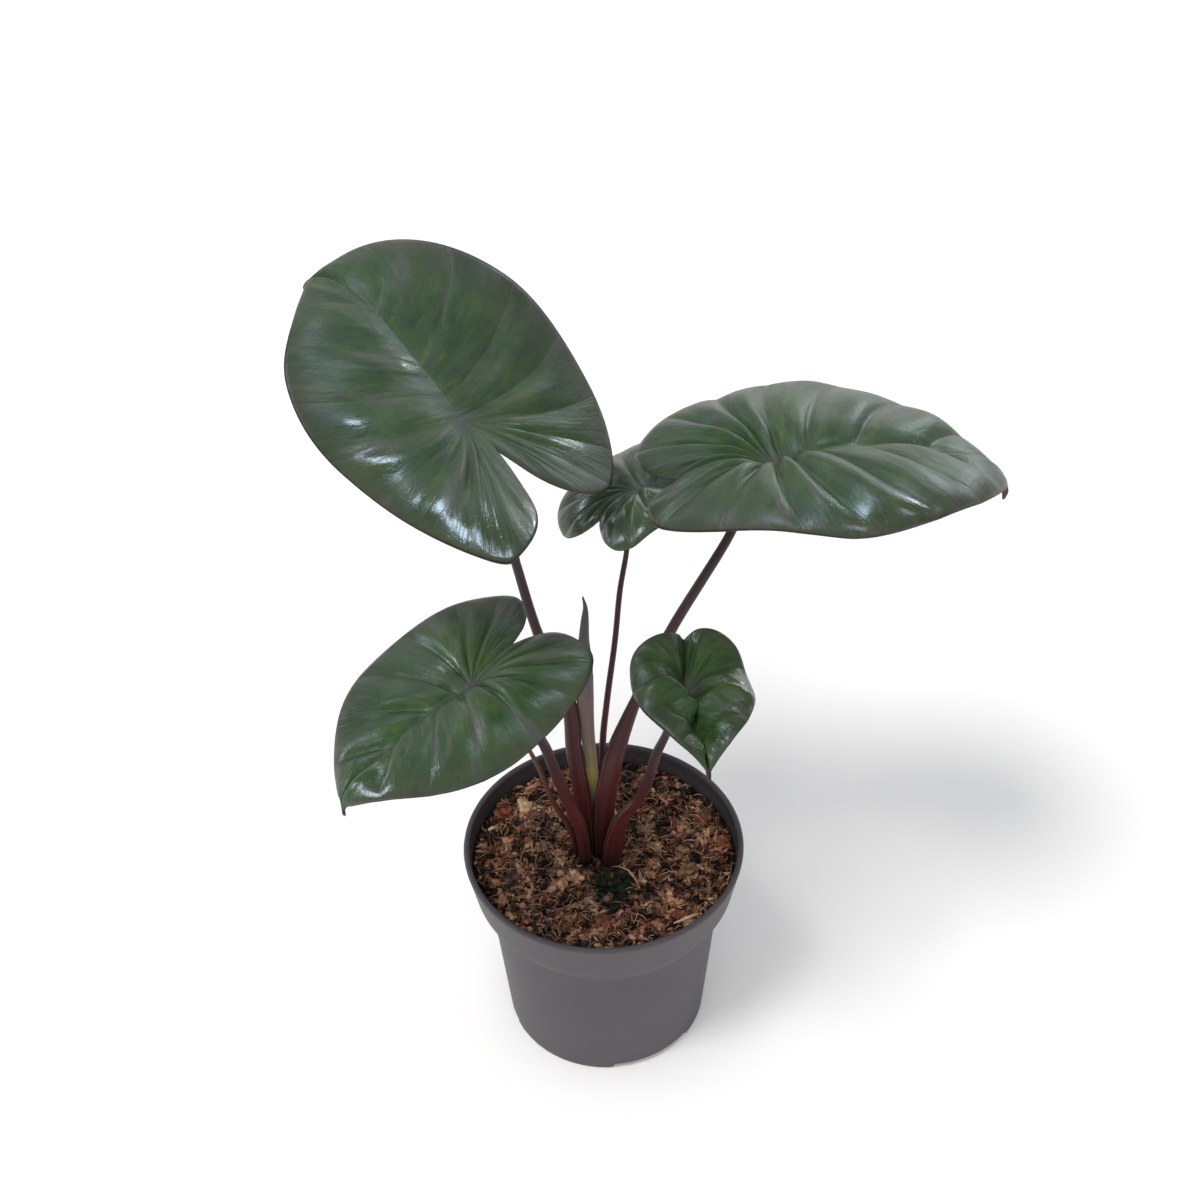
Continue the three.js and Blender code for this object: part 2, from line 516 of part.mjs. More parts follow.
// A stalk is a round bar with oval sections, bent along its way
function stalkGeometry(way) {
  const points = way.map(([x, y, z]) => new THREE.Vector3(x, y, z));
  const curve = new THREE.CatmullRomCurve3(points, false, 'centripetal');
  const spans = way.length - 1;
  const bar = new THREE.CylinderGeometry(1, 1, 1, STALK_SIDES, STALK_STEPS_PER_SPAN * spans);
  const place = bar.attributes.position;
  for (let i = 0; i < place.count; i += 1) {
    const f = clamp(place.getY(i) + 0.5, 0, 1);
    const span = Math.min(Math.floor(f * spans), spans - 1);
    const part = f * spans - span;
    const width = THREE.MathUtils.lerp(way[span][3], way[span + 1][3], part);
    const depth = THREE.MathUtils.lerp(way[span][4], way[span + 1][4], part);
    const tangent = curve.getTangent(f);
    const across = tangent.clone().cross(new THREE.Vector3(0, 1, 0)).normalize();
    const deep = across.clone().cross(tangent);
    const point = curve.getPoint(f)
      .addScaledVector(across, place.getX(i) * width / 2)
      .addScaledVector(deep, place.getZ(i) * depth / 2);
    place.setXYZ(i, point.x, point.y, point.z);
  }
  return bare(bar);
}

// The last points of a leaf stalk turn square to its blade and stop just under it
function leafStalkGeometry(way, leaf) {
  const up = leafAxes(leaf).up;
  const top = new THREE.Vector3(...leaf.at).addScaledVector(up, -BLADE_THICK - RIB_DEPTH - leaf.dip - GAP);
  const neck = top.clone().addScaledVector(up, -STALK_NECK);
  const last = way[way.length - 1];
  const topSize = [last[3], last[4]];
  return stalkGeometry([...way, [...neck.toArray(), ...topSize], [...top.toArray(), ...topSize]]);
}

// Put together
const plant = new THREE.Group();

function add(name, geometry, colour, roughness) {
  const material = new THREE.MeshStandardMaterial({ color: colour, roughness, metalness: 0 });
  const mesh = new THREE.Mesh(geometry, material);
  mesh.name = name;
  plant.add(mesh);
}

add('pot', potGeometry(), 0x5e585c, 0.55);
add('soil', soilGeometry(), 0x6b4630, 0.95);
add('corm', cormGeometry(), 0x3a2a20, 0.9);
for (const [name, leaf] of Object.entries(BLADES)) {
  add(`blade_${name}`, bladeGeometry(leaf), 0x3c553c, 0.3);
  add(`stalk_${name}`, leafStalkGeometry(STALKS[name], leaf), 0x46232a, 0.4);
}
add('stalk_spent', stalkGeometry(SPENT_STALK), 0x4a2a28, 0.5);
add('new_leaf', stalkGeometry(NEW_LEAF), 0x55464c, 0.45);

export default plant;
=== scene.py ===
import math
import random

import bmesh
import bpy
from mathutils import Matrix, Vector, noise


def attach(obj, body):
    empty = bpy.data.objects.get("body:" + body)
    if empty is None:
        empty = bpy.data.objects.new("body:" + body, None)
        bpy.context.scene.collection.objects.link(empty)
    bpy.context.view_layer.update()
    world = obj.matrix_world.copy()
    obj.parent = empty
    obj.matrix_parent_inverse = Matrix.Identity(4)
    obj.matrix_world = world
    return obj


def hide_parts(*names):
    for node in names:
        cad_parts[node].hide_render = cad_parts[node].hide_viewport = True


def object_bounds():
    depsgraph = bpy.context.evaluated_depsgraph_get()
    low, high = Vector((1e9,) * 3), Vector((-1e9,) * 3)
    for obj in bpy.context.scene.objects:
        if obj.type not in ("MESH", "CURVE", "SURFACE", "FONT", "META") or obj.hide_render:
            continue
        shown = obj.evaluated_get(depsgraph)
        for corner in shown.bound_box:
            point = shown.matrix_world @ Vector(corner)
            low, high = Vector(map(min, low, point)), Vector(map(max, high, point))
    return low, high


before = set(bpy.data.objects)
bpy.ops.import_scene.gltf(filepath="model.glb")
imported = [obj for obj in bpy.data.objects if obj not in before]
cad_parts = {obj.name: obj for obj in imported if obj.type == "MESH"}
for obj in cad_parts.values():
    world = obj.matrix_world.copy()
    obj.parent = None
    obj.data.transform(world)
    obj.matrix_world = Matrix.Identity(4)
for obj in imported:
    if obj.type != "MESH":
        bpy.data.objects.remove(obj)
solid_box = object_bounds()
MM = 0.001

# Viewpoint
# The plant is seen from in front, 0.8 m above the floor and 0.6 m away, looking down by some forty
# degrees, with the camera tipped very slightly about its own axis.
TARGET = Vector((0.0008, 0.0, 0.240))
STAND_OFF = 0.850
LOOK_DOWN = math.radians(41.8)
TIP_OVER = math.radians(-1.28)
LENS_MM = 66.0
SENSOR_MM = 36.0

ahead = Vector((0.0, math.cos(LOOK_DOWN), -math.sin(LOOK_DOWN)))
overhead = Vector((0.0, math.sin(LOOK_DOWN), math.cos(LOOK_DOWN)))
rightward = Vector((1.0, 0.0, 0.0))
image_right = rightward * math.cos(TIP_OVER) + overhead * math.sin(TIP_OVER)
image_up = overhead * math.cos(TIP_OVER) - rightward * math.sin(TIP_OVER)
camera_data = bpy.data.cameras.new("viewpoint")
camera_data.lens = LENS_MM
camera_data.sensor_width = SENSOR_MM
camera_data.clip_start = 0.02
camera = bpy.data.objects.new("viewpoint", camera_data)
turn = Matrix((image_right, image_up, -ahead)).transposed().to_4x4()
camera.matrix_world = Matrix.Translation(TARGET - ahead * STAND_OFF) @ turn
bpy.context.scene.collection.objects.link(camera)
bpy.context.scene.camera = camera

# Floor, daylight and soft lamps
# A seamless white floor in a bright room. Soft daylight falls from the upper left in front and a weak broad
# fill from low in front. Glossy leaves mirror a pale band of wall at the back and six cool window panes.
FLOOR_HALF = 3.0
DAYLIGHT_FROM = (-0.32, -0.28, 0.91)
DAYLIGHT_STRENGTH = 1.65
DAYLIGHT_SPREAD = math.radians(18)
FILL_FROM = (-0.10, -0.85, 0.40)
FILL_STRENGTH = 0.85
FILL_SPREAD = math.radians(70)
SUN_COLOUR = (1.0, 0.985, 0.965)
PANE_BLUE = (0.75, 0.86, 1.0)
PANES_AIM = (0, 0, 0.25)
# Each pane's name, its middle, width and height in metres, its watts and its colour.
PANES = [
    ("high_window", (0.04, 0.35, 1.58), 0.38, 0.30, 7.5, (0.64, 0.80, 1.0)),
    ("right_window", (0.78, 0.20, 1.35), 0.25, 0.20, 0.9, (0.72, 0.84, 1.0)),
    ("low_window", (0.86, 1.31, 0.64), 0.18, 0.12, 3.0, PANE_BLUE),
    ("left_window", (-1.33, 0.30, 0.80), 0.34, 0.30, 5.5, PANE_BLUE),
    ("upper_pane", (-0.62, 0.96, 1.19), 0.30, 0.26, 1.8, PANE_BLUE),
    ("back_left_window", (-0.83, 1.28, 0.68), 0.20, 0.25, 0.7, PANE_BLUE),
]
ROOM_FOR_MATT = 0.52
ROOM_FOR_GLOSS = 0.22
WALL_STRENGTH = 1.25
WALL_TOP = 0.60
WALL_TOP_SOFTNESS = 0.22
WALL_MIDDLE = 0.25
WALL_NARROWNESS = 1.9
WALL_END_SHARPNESS = 3


class Wire:
    """One output of a shader node. Sums and products of wires add Math nodes beside it."""

    def __init__(self, finish, socket):
        self.finish = finish
        self.socket = socket

    def math(self, operation, *others):
        return self.finish.node("ShaderNodeMath", {"operation": operation}, [self, *others])

    def __add__(self, other):
        return self.math("ADD", other)

    def __sub__(self, other):
        return self.math("SUBTRACT", other)

    def __mul__(self, other):
        return self.math("MULTIPLY", other)

    def __truediv__(self, other):
        return self.math("DIVIDE", other)

    def __pow__(self, other):
        return self.math("POWER", other)

    def __radd__(self, other):
        return self.math("ADD", other)

    def __rmul__(self, other):
        return self.math("MULTIPLY", other)

    def __rsub__(self, other):
        return self.finish.node("ShaderNodeMath", {"operation": "SUBTRACT"}, [other, self])

    def __abs__(self):
        return self.math("ABSOLUTE")

    def held(self):
        return self.finish.node("ShaderNodeClamp", {}, [self])


class Nodes:
    """The shader nodes of a node tree, made and joined from Python expressions."""

    def __init__(self, tree):
        self.tree = tree

    def node(self, kind, settings=None, values=(), output=0):
        made = self.tree.nodes.new(kind)
        for key, value in (settings or {}).items():
            if key == "stops":
                while len(made.color_ramp.elements) < len(value):
                    made.color_ramp.elements.new(0.5)
                for element, (place, colour) in zip(made.color_ramp.elements, value):
                    element.position = place
                    element.color = (*colour, 1.0)
            else:
                setattr(made, key, value)
        pairs = values.items() if isinstance(values, dict) else enumerate(values)
        for key, value in pairs:
            self.join(value, made.inputs[key])
        return Wire(self, made.outputs[output])

    def join(self, value, slot):
        if isinstance(value, Wire):
            self.tree.links.new(value.socket, slot)
        elif hasattr(slot.default_value, "__len__") and len(slot.default_value) == 4:
            slot.default_value = (*value, 1.0)
        else:
            slot.default_value = value

    def mix(self, share, first, second, kind="MIX"):
        settings = {"data_type": "RGBA", "blend_type": kind}
        return self.node("ShaderNodeMix", settings, {0: share, 6: first, 7: second}, 2)

    def ramp(self, share, stops):
        return self.node("ShaderNodeValToRGB", {"stops": stops}, [share])

    def noise(self, place, scale, detail=3.0, roughness=0.55):
        values = {"Vector": place, "Scale": scale, "Detail": detail, "Roughness": roughness}
        return self.node("ShaderNodeTexNoise", {}, values)

    def object_place(self):
        return self.node("ShaderNodeTexCoord", {}, [], 3)

    def map(self, name):
        return self.node("ShaderNodeUVMap", {"uv_map": name})

    def split(self, vector):
        split = self.node("ShaderNodeSeparateXYZ", {}, [vector])
        return [Wire(self, out) for out in split.socket.node.outputs]

    def point(self, *parts):
        return self.node("ShaderNodeCombineXYZ", {}, parts)


class Finish(Nodes):
    """A material under way: its nodes, and the shader they feed."""

    def __init__(self, name, **constants):
        self.material = bpy.data.materials.new(name)
        self.material.use_nodes = True
        super().__init__(self.material.node_tree)
        self.shader = self.tree.nodes["Principled BSDF"]
        for socket, value in constants.items():
            self.shader.inputs[socket.replace("_", " ")].default_value = value

    def set(self, socket, value):
        self.join(value, self.shader.inputs[socket])

    def bump(self, height, strength, distance):
        values = {"Strength": strength, "Distance": distance, "Height": height}
        self.set("Normal", self.node("ShaderNodeBump", {}, values))


def object_from(mesh_work, name, finishes, smooth=True):
    mesh = bpy.data.meshes.new(name)
    mesh_work.to_mesh(mesh)
    mesh_work.free()
    for finish in finishes:
        mesh.materials.append(finish.material)
    mesh.polygons.foreach_set("use_smooth", [smooth] * len(mesh.polygons))
    made = bpy.data.objects.new(name, mesh)
    bpy.context.scene.collection.objects.link(made)
    return made


floor_finish = Finish("white_floor", Base_Color=(0.96, 0.96, 0.96, 1), Roughness=0.75, Specular_IOR_Level=0.2,
                      Emission_Color=(1, 1, 1, 1), Emission_Strength=0.08)
floor_work = bmesh.new()
bmesh.ops.create_grid(floor_work, x_segments=1, y_segments=1, size=FLOOR_HALF)
bmesh.ops.translate(floor_work, verts=floor_work.verts, vec=(0, 0, -0.0002))
floor = object_from(floor_work, "floor", [floor_finish])

room = bpy.data.worlds.new("room")
room.use_nodes = True
background = room.node_tree.nodes["Background"]
background.inputs["Color"].default_value = (0.97, 0.985, 1.0, 1)
air = Nodes(room.node_tree)
direction = air.node("ShaderNodeTexCoord")
is_glossy = air.node("ShaderNodeLightPath", output="Is Glossy Ray")
x, y, z = air.split(direction)
below_wall_top = ((WALL_TOP - z) / WALL_TOP_SOFTNESS).held()
between_wall_ends = ((y - abs(x - y * WALL_MIDDLE) * WALL_NARROWNESS) * WALL_END_SHARPNESS).held()
for_gloss = below_wall_top * between_wall_ends * WALL_STRENGTH + ROOM_FOR_GLOSS
air.join(for_gloss * is_glossy + (1 - is_glossy) * ROOM_FOR_MATT, background.inputs["Strength"])
bpy.context.scene.world = room
bpy.context.scene.view_settings.view_transform = "Standard"

for name, source, power, spread in (("daylight", DAYLIGHT_FROM, DAYLIGHT_STRENGTH, DAYLIGHT_SPREAD),
                                    ("fill", FILL_FROM, FILL_STRENGTH, FILL_SPREAD)):
    light = bpy.data.lights.new(name, "SUN")
    light.energy = power
    light.angle = spread
    light.color = SUN_COLOUR
    holder = bpy.data.objects.new(name, light)
    holder.rotation_euler = Vector(source).to_track_quat("Z", "Y").to_euler()
    holder.visible_glossy = False
    bpy.context.scene.collection.objects.link(holder)

for name, place, width, height, watts, colour in PANES:
    light = bpy.data.lights.new(name, "AREA")
    light.shape = "RECTANGLE"
    light.size = width
    light.size_y = height
    light.energy = watts
    light.color = colour
    holder = bpy.data.objects.new(name, light)
    holder.location = place
    holder.rotation_euler = (Vector(PANES_AIM) - holder.location).to_track_quat("-Z", "Y").to_euler()
    holder.visible_diffuse = False
    bpy.context.scene.collection.objects.link(holder)

# Leaf blades
# Each blade is one thin leathery sheet, heart-shaped, with the midrib and side veins sunk in channels,
# puffed quilts between them and a softly waved margin. It is joined at its notch end to its own stalk.
# Sizes are in millimetres and angles in degrees. The heading and pitch aim the midrib and the roll turns
# the blade about it. The droops, rise, falls and twist bend it, and the skews make its halves unlike.
ORDINARY_BLADE = dict(
    tip_from=0.45, tip_full=0.5, tip_from_end=0.84, shoulder_full=0.55, full=0.62, sinus=0.45, drip=3,
    curl_left=0, calm_lobes=0, knee=0)
BLADES = {
    "upper_left": ORDINARY_BLADE | dict(
        at=(-46, 15, 318), heading=138, pitch=29, roll=-24, length=88, half=67.5, widest=6, lobe=54,
        lobe_x=43, notch=15, droop=-7, tip_droop=84, tip_from=0.5, lobe_droop=-12, rise=5, fall_left=46,
        fall_right=-16, twist=19, half_skew=0.06, lobe_skew=-0.08, lobe_x_skew=-0.22, veins=10, quilt=1.5,
        dip=1.5, edge_roll=1.2, curl_left=1.5, wave=0.8, pucker=1.2, tip_full=0.53, tip_from_end=0.86,
        calm_lobes=0.75, wrinkle=0.6, pleats=(0.55, 0.15), channel=0.2),
    "upper_right": ORDINARY_BLADE | dict(
        at=(68, 20, 295), heading=13, pitch=1, roll=15, length=100, half=67.5, widest=12, lobe=52.5,
        lobe_x=29, notch=36, droop=32, tip_droop=15, lobe_droop=14, rise=10, fall_left=13, fall_right=30,
        twist=-2, half_skew=-0.03, lobe_skew=0.067, lobe_x_skew=0.03, veins=10, quilt=3.0, dip=4.5,
        edge_roll=1.5, wave=1.5, pucker=0.65, shoulder_full=0.32, sinus=0.12, drip=4, full=0.25,
        wrinkle=0.5, pleats=(0.60, 0.40), channel=0.9),
    "back": ORDINARY_BLADE | dict(
        at=(16, 42, 263), heading=32, pitch=8, roll=15, length=62, half=36, widest=6, lobe=31, lobe_x=18,
        notch=21, droop=21, tip_droop=14, lobe_droop=48, rise=7, fall_left=24, fall_right=15, twist=0,
        half_skew=-0.05, lobe_skew=-0.12, lobe_x_skew=0, veins=8, quilt=1.8, dip=1.5, edge_roll=0.8,
        wave=0.9, pucker=0.65, wrinkle=0.5, pleats=(0.40, 0.40), channel=0.7),
    "lower_left": ORDINARY_BLADE | dict(
        at=(-49, -45, 243), heading=218, pitch=-15, roll=-22, length=67, half=46, widest=9, lobe=38,
        lobe_x=25, notch=21, droop=8, tip_droop=20, lobe_droop=1, rise=6, fall_left=45, fall_right=-21,
        twist=1, half_skew=-0.05, lobe_skew=0.01, lobe_x_skew=-0.2, veins=9, quilt=1.7, dip=2.5,
        edge_roll=1.0, curl_left=1.5, wave=0.9, pucker=0.6, drip=2.5, calm_lobes=0.1, wrinkle=0.6,
        pleats=(0.50, 0.35), channel=1.5),
    "lower_right": ORDINARY_BLADE | dict(
        at=(33, -35, 226), heading=-84, pitch=-1, roll=18, length=47.5, half=27.7, widest=7, lobe=24,
        lobe_x=9, notch=21, droop=-11, tip_droop=11, lobe_droop=-43, rise=52, fall_left=20, fall_right=29,
        twist=-14, half_skew=0.06, lobe_skew=-0.1, lobe_x_skew=0, veins=8, quilt=1.3, dip=1.5,
        edge_roll=0.5, wave=0.7, pucker=0.6, drip=2, knee=4.2, wrinkle=0.9, pleats=(0.30, 0.30),
        channel=0.3),
}
BLADE_ROWS = 160
BLADE_COLUMNS = 30
BLADE_THICK = 0.8
RIB_DEPTH = 0.8
EDGE_WAVES = 4
LOBE_CURL_AT = 0.63
LOBE_CURL_SPREAD = 0.11
KNEE_AT = 0.36
QUILT_ROOM = 7
ROOM_STEP = 0.005
DRIP_SHARE = 0.03
BEND_STEPS = 20
SHOULDER = 16 / 38
LOBE_END = 28 / 38
RIB_SHARE = 0.5
RIB_CROWDING = 2.2


def held(value, low=0.0, high=1.0):
    return max(low, min(high, value))


def cubic(points, t):
    s = 1 - t
    weights = (s ** 3, 3 * s * s * t, 3 * s * t * t, t ** 3)
    return [sum(w * point[axis] for w, point in zip(weights, points)) for axis in (0, 1)]


def margin_point(leaf, side, v):
    """Outline of one half in its own plane: tip, shoulder, lobe end, notch."""
    half = leaf["half"] * (1 + leaf["half_skew"] * side)
    lobe = leaf["lobe"] * (1 + leaf["lobe_skew"] * side)
    lobe_x = leaf["lobe_x"] * (1 + leaf["lobe_x_skew"] * side)
    length, widest, notch = leaf["length"], leaf["widest"], leaf["notch"]
    if v < SHOULDER:
        front = [(0, length), (leaf["tip_full"] * half, leaf["tip_from_end"] * length),
                 (half, (widest + length) / 2), (half, widest)]
        x, y = cubic(front, v / SHOULDER)
        drip = held(1 - v / DRIP_SHARE)
        return [x * (1 - drip), y + leaf["drip"] * drip * drip]
    if v < LOBE_END:
        rear = [(half, widest), (half, widest - leaf["shoulder_full"] * (widest + lobe)),
                (lobe_x + leaf["full"] * (half - lobe_x), -lobe), (lobe_x, -lobe)]
        return cubic(rear, (v - SHOULDER) / (LOBE_END - SHOULDER))
    inner = [(lobe_x, -lobe), (leaf["sinus"] * lobe_x, -lobe),
             (0.06 * half, -notch - 0.45 * (lobe - notch)), (0, -notch)]
    return cubic(inner, (v - LOBE_END) / (1 - LOBE_END))


def flat_point(leaf, side, v, t):
    """A point v along the margin and t from the midrib out to it, before the blade is bent."""
    margin_x, margin_y = margin_point(leaf, side, v)
    root_y = leaf["length"] * held(1 - v / RIB_SHARE) ** RIB_CROWDING
    reach_x, reach_y = margin_x, margin_y - root_y
    k = held((v - RIB_SHARE) / (1 - RIB_SHARE))
    lean = held(1 - 3 * k)
    hook = math.sin(math.pi * held((k - 0.45) / 0.55)) ** 2
    bend_x = (0.5 + lean * 0.1) * reach_x + hook * 0.16 * leaf["lobe_x"] * (1 + leaf["lobe_x_skew"] * side)
    bend_y = (root_y + 0.5 * reach_y - lean * 0.12 * abs(reach_x)
              - hook * 0.05 * leaf["lobe"] * (1 + leaf["lobe_skew"] * side))
    s = 1 - t
    return 2 * s * t * bend_x + t * t * margin_x, s * s * root_y + 2 * s * t * bend_y + t * t * margin_y


def bent(slope_at, length):
    """Run and rise after a length of a strip whose slope at each length is given."""
    run = rise = 0.0
    for step in range(BEND_STEPS):
        slope = slope_at(length * (step + 0.5) / BEND_STEPS)
        run += math.cos(slope) * length / BEND_STEPS
        rise += math.sin(slope) * length / BEND_STEPS
    return run, rise


def leaf_axes(leaf):
    heading, pitch, roll = (math.radians(leaf[key]) for key in ("heading", "pitch", "roll"))
    level_share = math.cos(pitch)
    forward = Vector((math.cos(heading) * level_share, math.sin(heading) * level_share, math.sin(pitch)))
    level = Vector((math.sin(heading), -math.cos(heading), 0))
    right = level * math.cos(roll) + level.cross(forward) * math.sin(roll)
    return right, forward, right.cross(forward)


def relief(leaf, side, v, t, x, y):
    """Height of the quilted surface over the plain blade, in millimetres."""
    next_v = v - ROOM_STEP if v > 0.5 else v + ROOM_STEP
    ray_gap = math.dist((x, y), flat_point(leaf, side, next_v, t))
    room = held(ray_gap / (ROOM_STEP * leaf["veins"] * QUILT_ROOM))
    ripple = abs(math.sin(math.pi * leaf["veins"] * v)) ** 0.9
    uneven = 1 + 0.25 * math.sin(leaf["veins"] * v * 1.7 + t * 3 + side * 2 + leaf["half"])
    calm = 1 - leaf["calm_lobes"] * held((v - 0.58) * 4)
    pucker = leaf["pucker"]
    quilt = leaf["quilt"] * room * calm * ripple * uneven * math.sin(math.pi * t ** pucker) ** pucker
    channel = leaf["channel"] * room * (1 - ripple) ** 3 * (1 - t) * held(t * 8) * held(8 - 8 * v)
    rib = -RIB_DEPTH * held(1 - t * 5) - channel
    pleat_phase = 2 * math.pi * leaf["veins"] * v + 0.9 * math.sin(5 * t + 9 * v + leaf["half"])
    pleat_size = leaf["pleats"][side > 0] * (1 + 0.7 * math.sin(leaf["veins"] * v * 2.9 + 4 * t))
    pleat_size *= room * held(math.hypot(x, y) / 12 - 1) * held(12 * (1 - v))
    pleat = pleat_size * (0.5 + 0.5 * calm) * math.sin(pleat_phase) * math.sin(math.pi * t ** 0.8)
    wave_phase = 2 * math.pi * (EDGE_WAVES * v + 0.15 * side)
    wave = leaf["wave"] * math.sin(wave_phase) * math.sin(math.pi * v) * t ** 3
    wrinkle_at = Vector((leaf["veins"] * v * 2.3, t * 2.6, side * 9 + leaf["length"]))
    wrinkle = leaf["wrinkle"] * noise.noise(wrinkle_at) * math.sin(math.pi * t) * held(12 * (1 - v))
    dip = -leaf["dip"] * math.exp(-(math.hypot(x, y) / 13) ** 2)
    past_knee = (y / leaf["length"] - KNEE_AT - 0.05 * math.sin(x * 0.3)) * 9
    knee_fold = math.exp(-((past_knee + 0.7) / 1.1) ** 2) - 0.6 * math.exp(-(past_knee - 0.5) ** 2)
    knee = leaf["knee"] * knee_fold * (1 - t ** 3)
    edge_roll = leaf["edge_roll"] * t ** 12
    curl = 0 if side > 0 else leaf["curl_left"]
    lobe_curl = curl * math.exp(-((v - LOBE_CURL_AT) / LOBE_CURL_SPREAD) ** 2) * t ** 4 * held(12 - 12 * v)
    hook = leaf["drip"] * held(1 - v / DRIP_SHARE) ** 2 * t * t
    return quilt + rib + pleat + wave + wrinkle + dip + knee - edge_roll - lobe_curl - hook


def blade_point(leaf, axes, side, v, t):
    right, forward, up = axes
    x, y = flat_point(leaf, side, v, t)

    def mid_slope(s):
        if s >= 0:
            share = s / leaf["length"]
            late = held((share - leaf["tip_from"]) / (1 - leaf["tip_from"]))
            return -math.radians(leaf["droop"] * share + leaf["tip_droop"] * late * late)
        return math.radians(leaf["lobe_droop"] * -s / leaf["lobe"])

    fall = leaf["fall_right"] if side > 0 else leaf["fall_left"]

    def side_slope(s):
        return math.radians(leaf["rise"] - (fall + leaf["rise"]) * max(s / leaf["half"], 0) ** 1.3)

    along, height = bent(mid_slope, y)
    across, lift = bent(side_slope, x)
    twist = math.radians(leaf["twist"]) * held(y / leaf["length"], -1, 1)
    slope = mid_slope(y)

    def local(sideways, upward):
        out = side * sideways * math.cos(twist) - upward * math.sin(twist)
        over = side * sideways * math.sin(twist) + upward * math.cos(twist)
        return right * out - forward * math.sin(slope) * over + up * math.cos(slope) * over

    tilt = side_slope(x) * held(x / 3)
    outward = local(-math.sin(tilt), math.cos(tilt)).normalized()
    place = Vector(leaf["at"]) + forward * along + up * height + local(across, lift)
    return place + outward * relief(leaf, side, v, t, x, y), (x, y)


box_limits = [(low + 0.02 * MM, high - 0.02 * MM) for low, high in zip(*solid_box)]


def blade_mesh(leaf):
    axes = leaf_axes(leaf)
    work = bmesh.new()
    ray_map = work.loops.layers.uv.new("ray")
    flat_map = work.loops.layers.uv.new("flat")
    for side in (1, -1):
        grid = bmesh.ops.create_grid(work, x_segments=BLADE_ROWS, y_segments=BLADE_COLUMNS, size=0.5)
        for vert in grid["verts"]:
            v, t = vert.co.x + 0.5, vert.co.y + 0.5
            place, flat = blade_point(leaf, axes, side, v, t)
            vert.co = Vector(held(value * MM, *limits) for value, limits in zip(place, box_limits))
            for loop in vert.link_loops:
                loop[ray_map].uv = (v * leaf["veins"], t)
                loop[flat_map].uv = (side * flat[0] / 100, flat[1] / 100)
        if side < 0:
            own = {face for vert in grid["verts"] for face in vert.link_faces}
            bmesh.ops.reverse_faces(work, faces=list(own))
    bmesh.ops.remove_doubles(work, verts=work.verts, dist=2e-6)
    bmesh.ops.dissolve_degenerate(work, edges=work.edges, dist=1e-6)
    if sum((face.normal * face.calc_area() for face in work.faces), Vector()).dot(axes[2]) < 0:
        bmesh.ops.reverse_faces(work, faces=work.faces)
    return work


def leaf_patterns(finish):
    """Masks shared by the two faces of a blade. The ray map counts the side veins along the margin."""
    u, t, _ = finish.split(finish.map("ray"))
    flat = finish.map("flat")
    x, y, _ = finish.split(flat)
    inward = (1 - t).held()
    vein = (1 - abs((u * math.pi).math("SINE")) / (0.08 + 0.20 * inward * inward * inward)).held()
    warp = finish.noise(flat, 16.0, 2.0)
    cell_place = finish.point(u * 5 + warp * 3, t * 7 + warp * 2, x * 4)
    cells = {"Vector": cell_place, "Scale": 1.0, "Randomness": 1.0}
    branch = (1 - finish.node("ShaderNodeTexVoronoi", {"feature": "DISTANCE_TO_EDGE"}, cells) / 0.14).held()
    rib = (1 - abs(x) / 0.0060).held() * (y * 60 + 0.5).held()
    from_stalk = (x * x + y * y) ** 0.5
    spot = (1 - from_stalk / 0.085).held()
    streak_place = finish.point(u * 8, t * 3.5, x * 2)
    streaks = finish.noise(streak_place, 1.0, 5.0, 0.62)
    blotch = finish.noise(flat, 4.5, 4.0, 0.6)
    return t, vein, branch, rib, spot, streaks, blotch, flat


# Places where a blade is smooth enough to mirror a window: across, along, half width and half length in mm.
SMOOTH_PLACES = {
    "upper_left": [(-51, 1, 8, 8), (-54, -26, 6, 12), (-50, -47, 13, 13), (-46, 18, 3, 4), (-6, 29, 4, 3),
                   (19, -11, 6, 3), (35, -28, 9, 5), (-27, -50, 8, 8)],
    "upper_right": [(60, 32, 8, 28)],
    "back": [(20, -12, 14, 12), (-8, -22, 10, 10)],
    "lower_left": [(-14, 52, 22, 7), (14, 0, 4, 4), (-33, 36, 6, 8)],
    "lower_right": [(-4, 34, 10, 7), (0, -16, 12, 8), (-19, 14, 6, 10)],
}
SMOOTH_ROUGHNESS = 0.14
DULL_ROUGHNESS = {"upper_left": 0.45, "upper_right": 0.40, "back": 0.35,
                  "lower_left": 0.36, "lower_right": 0.33}


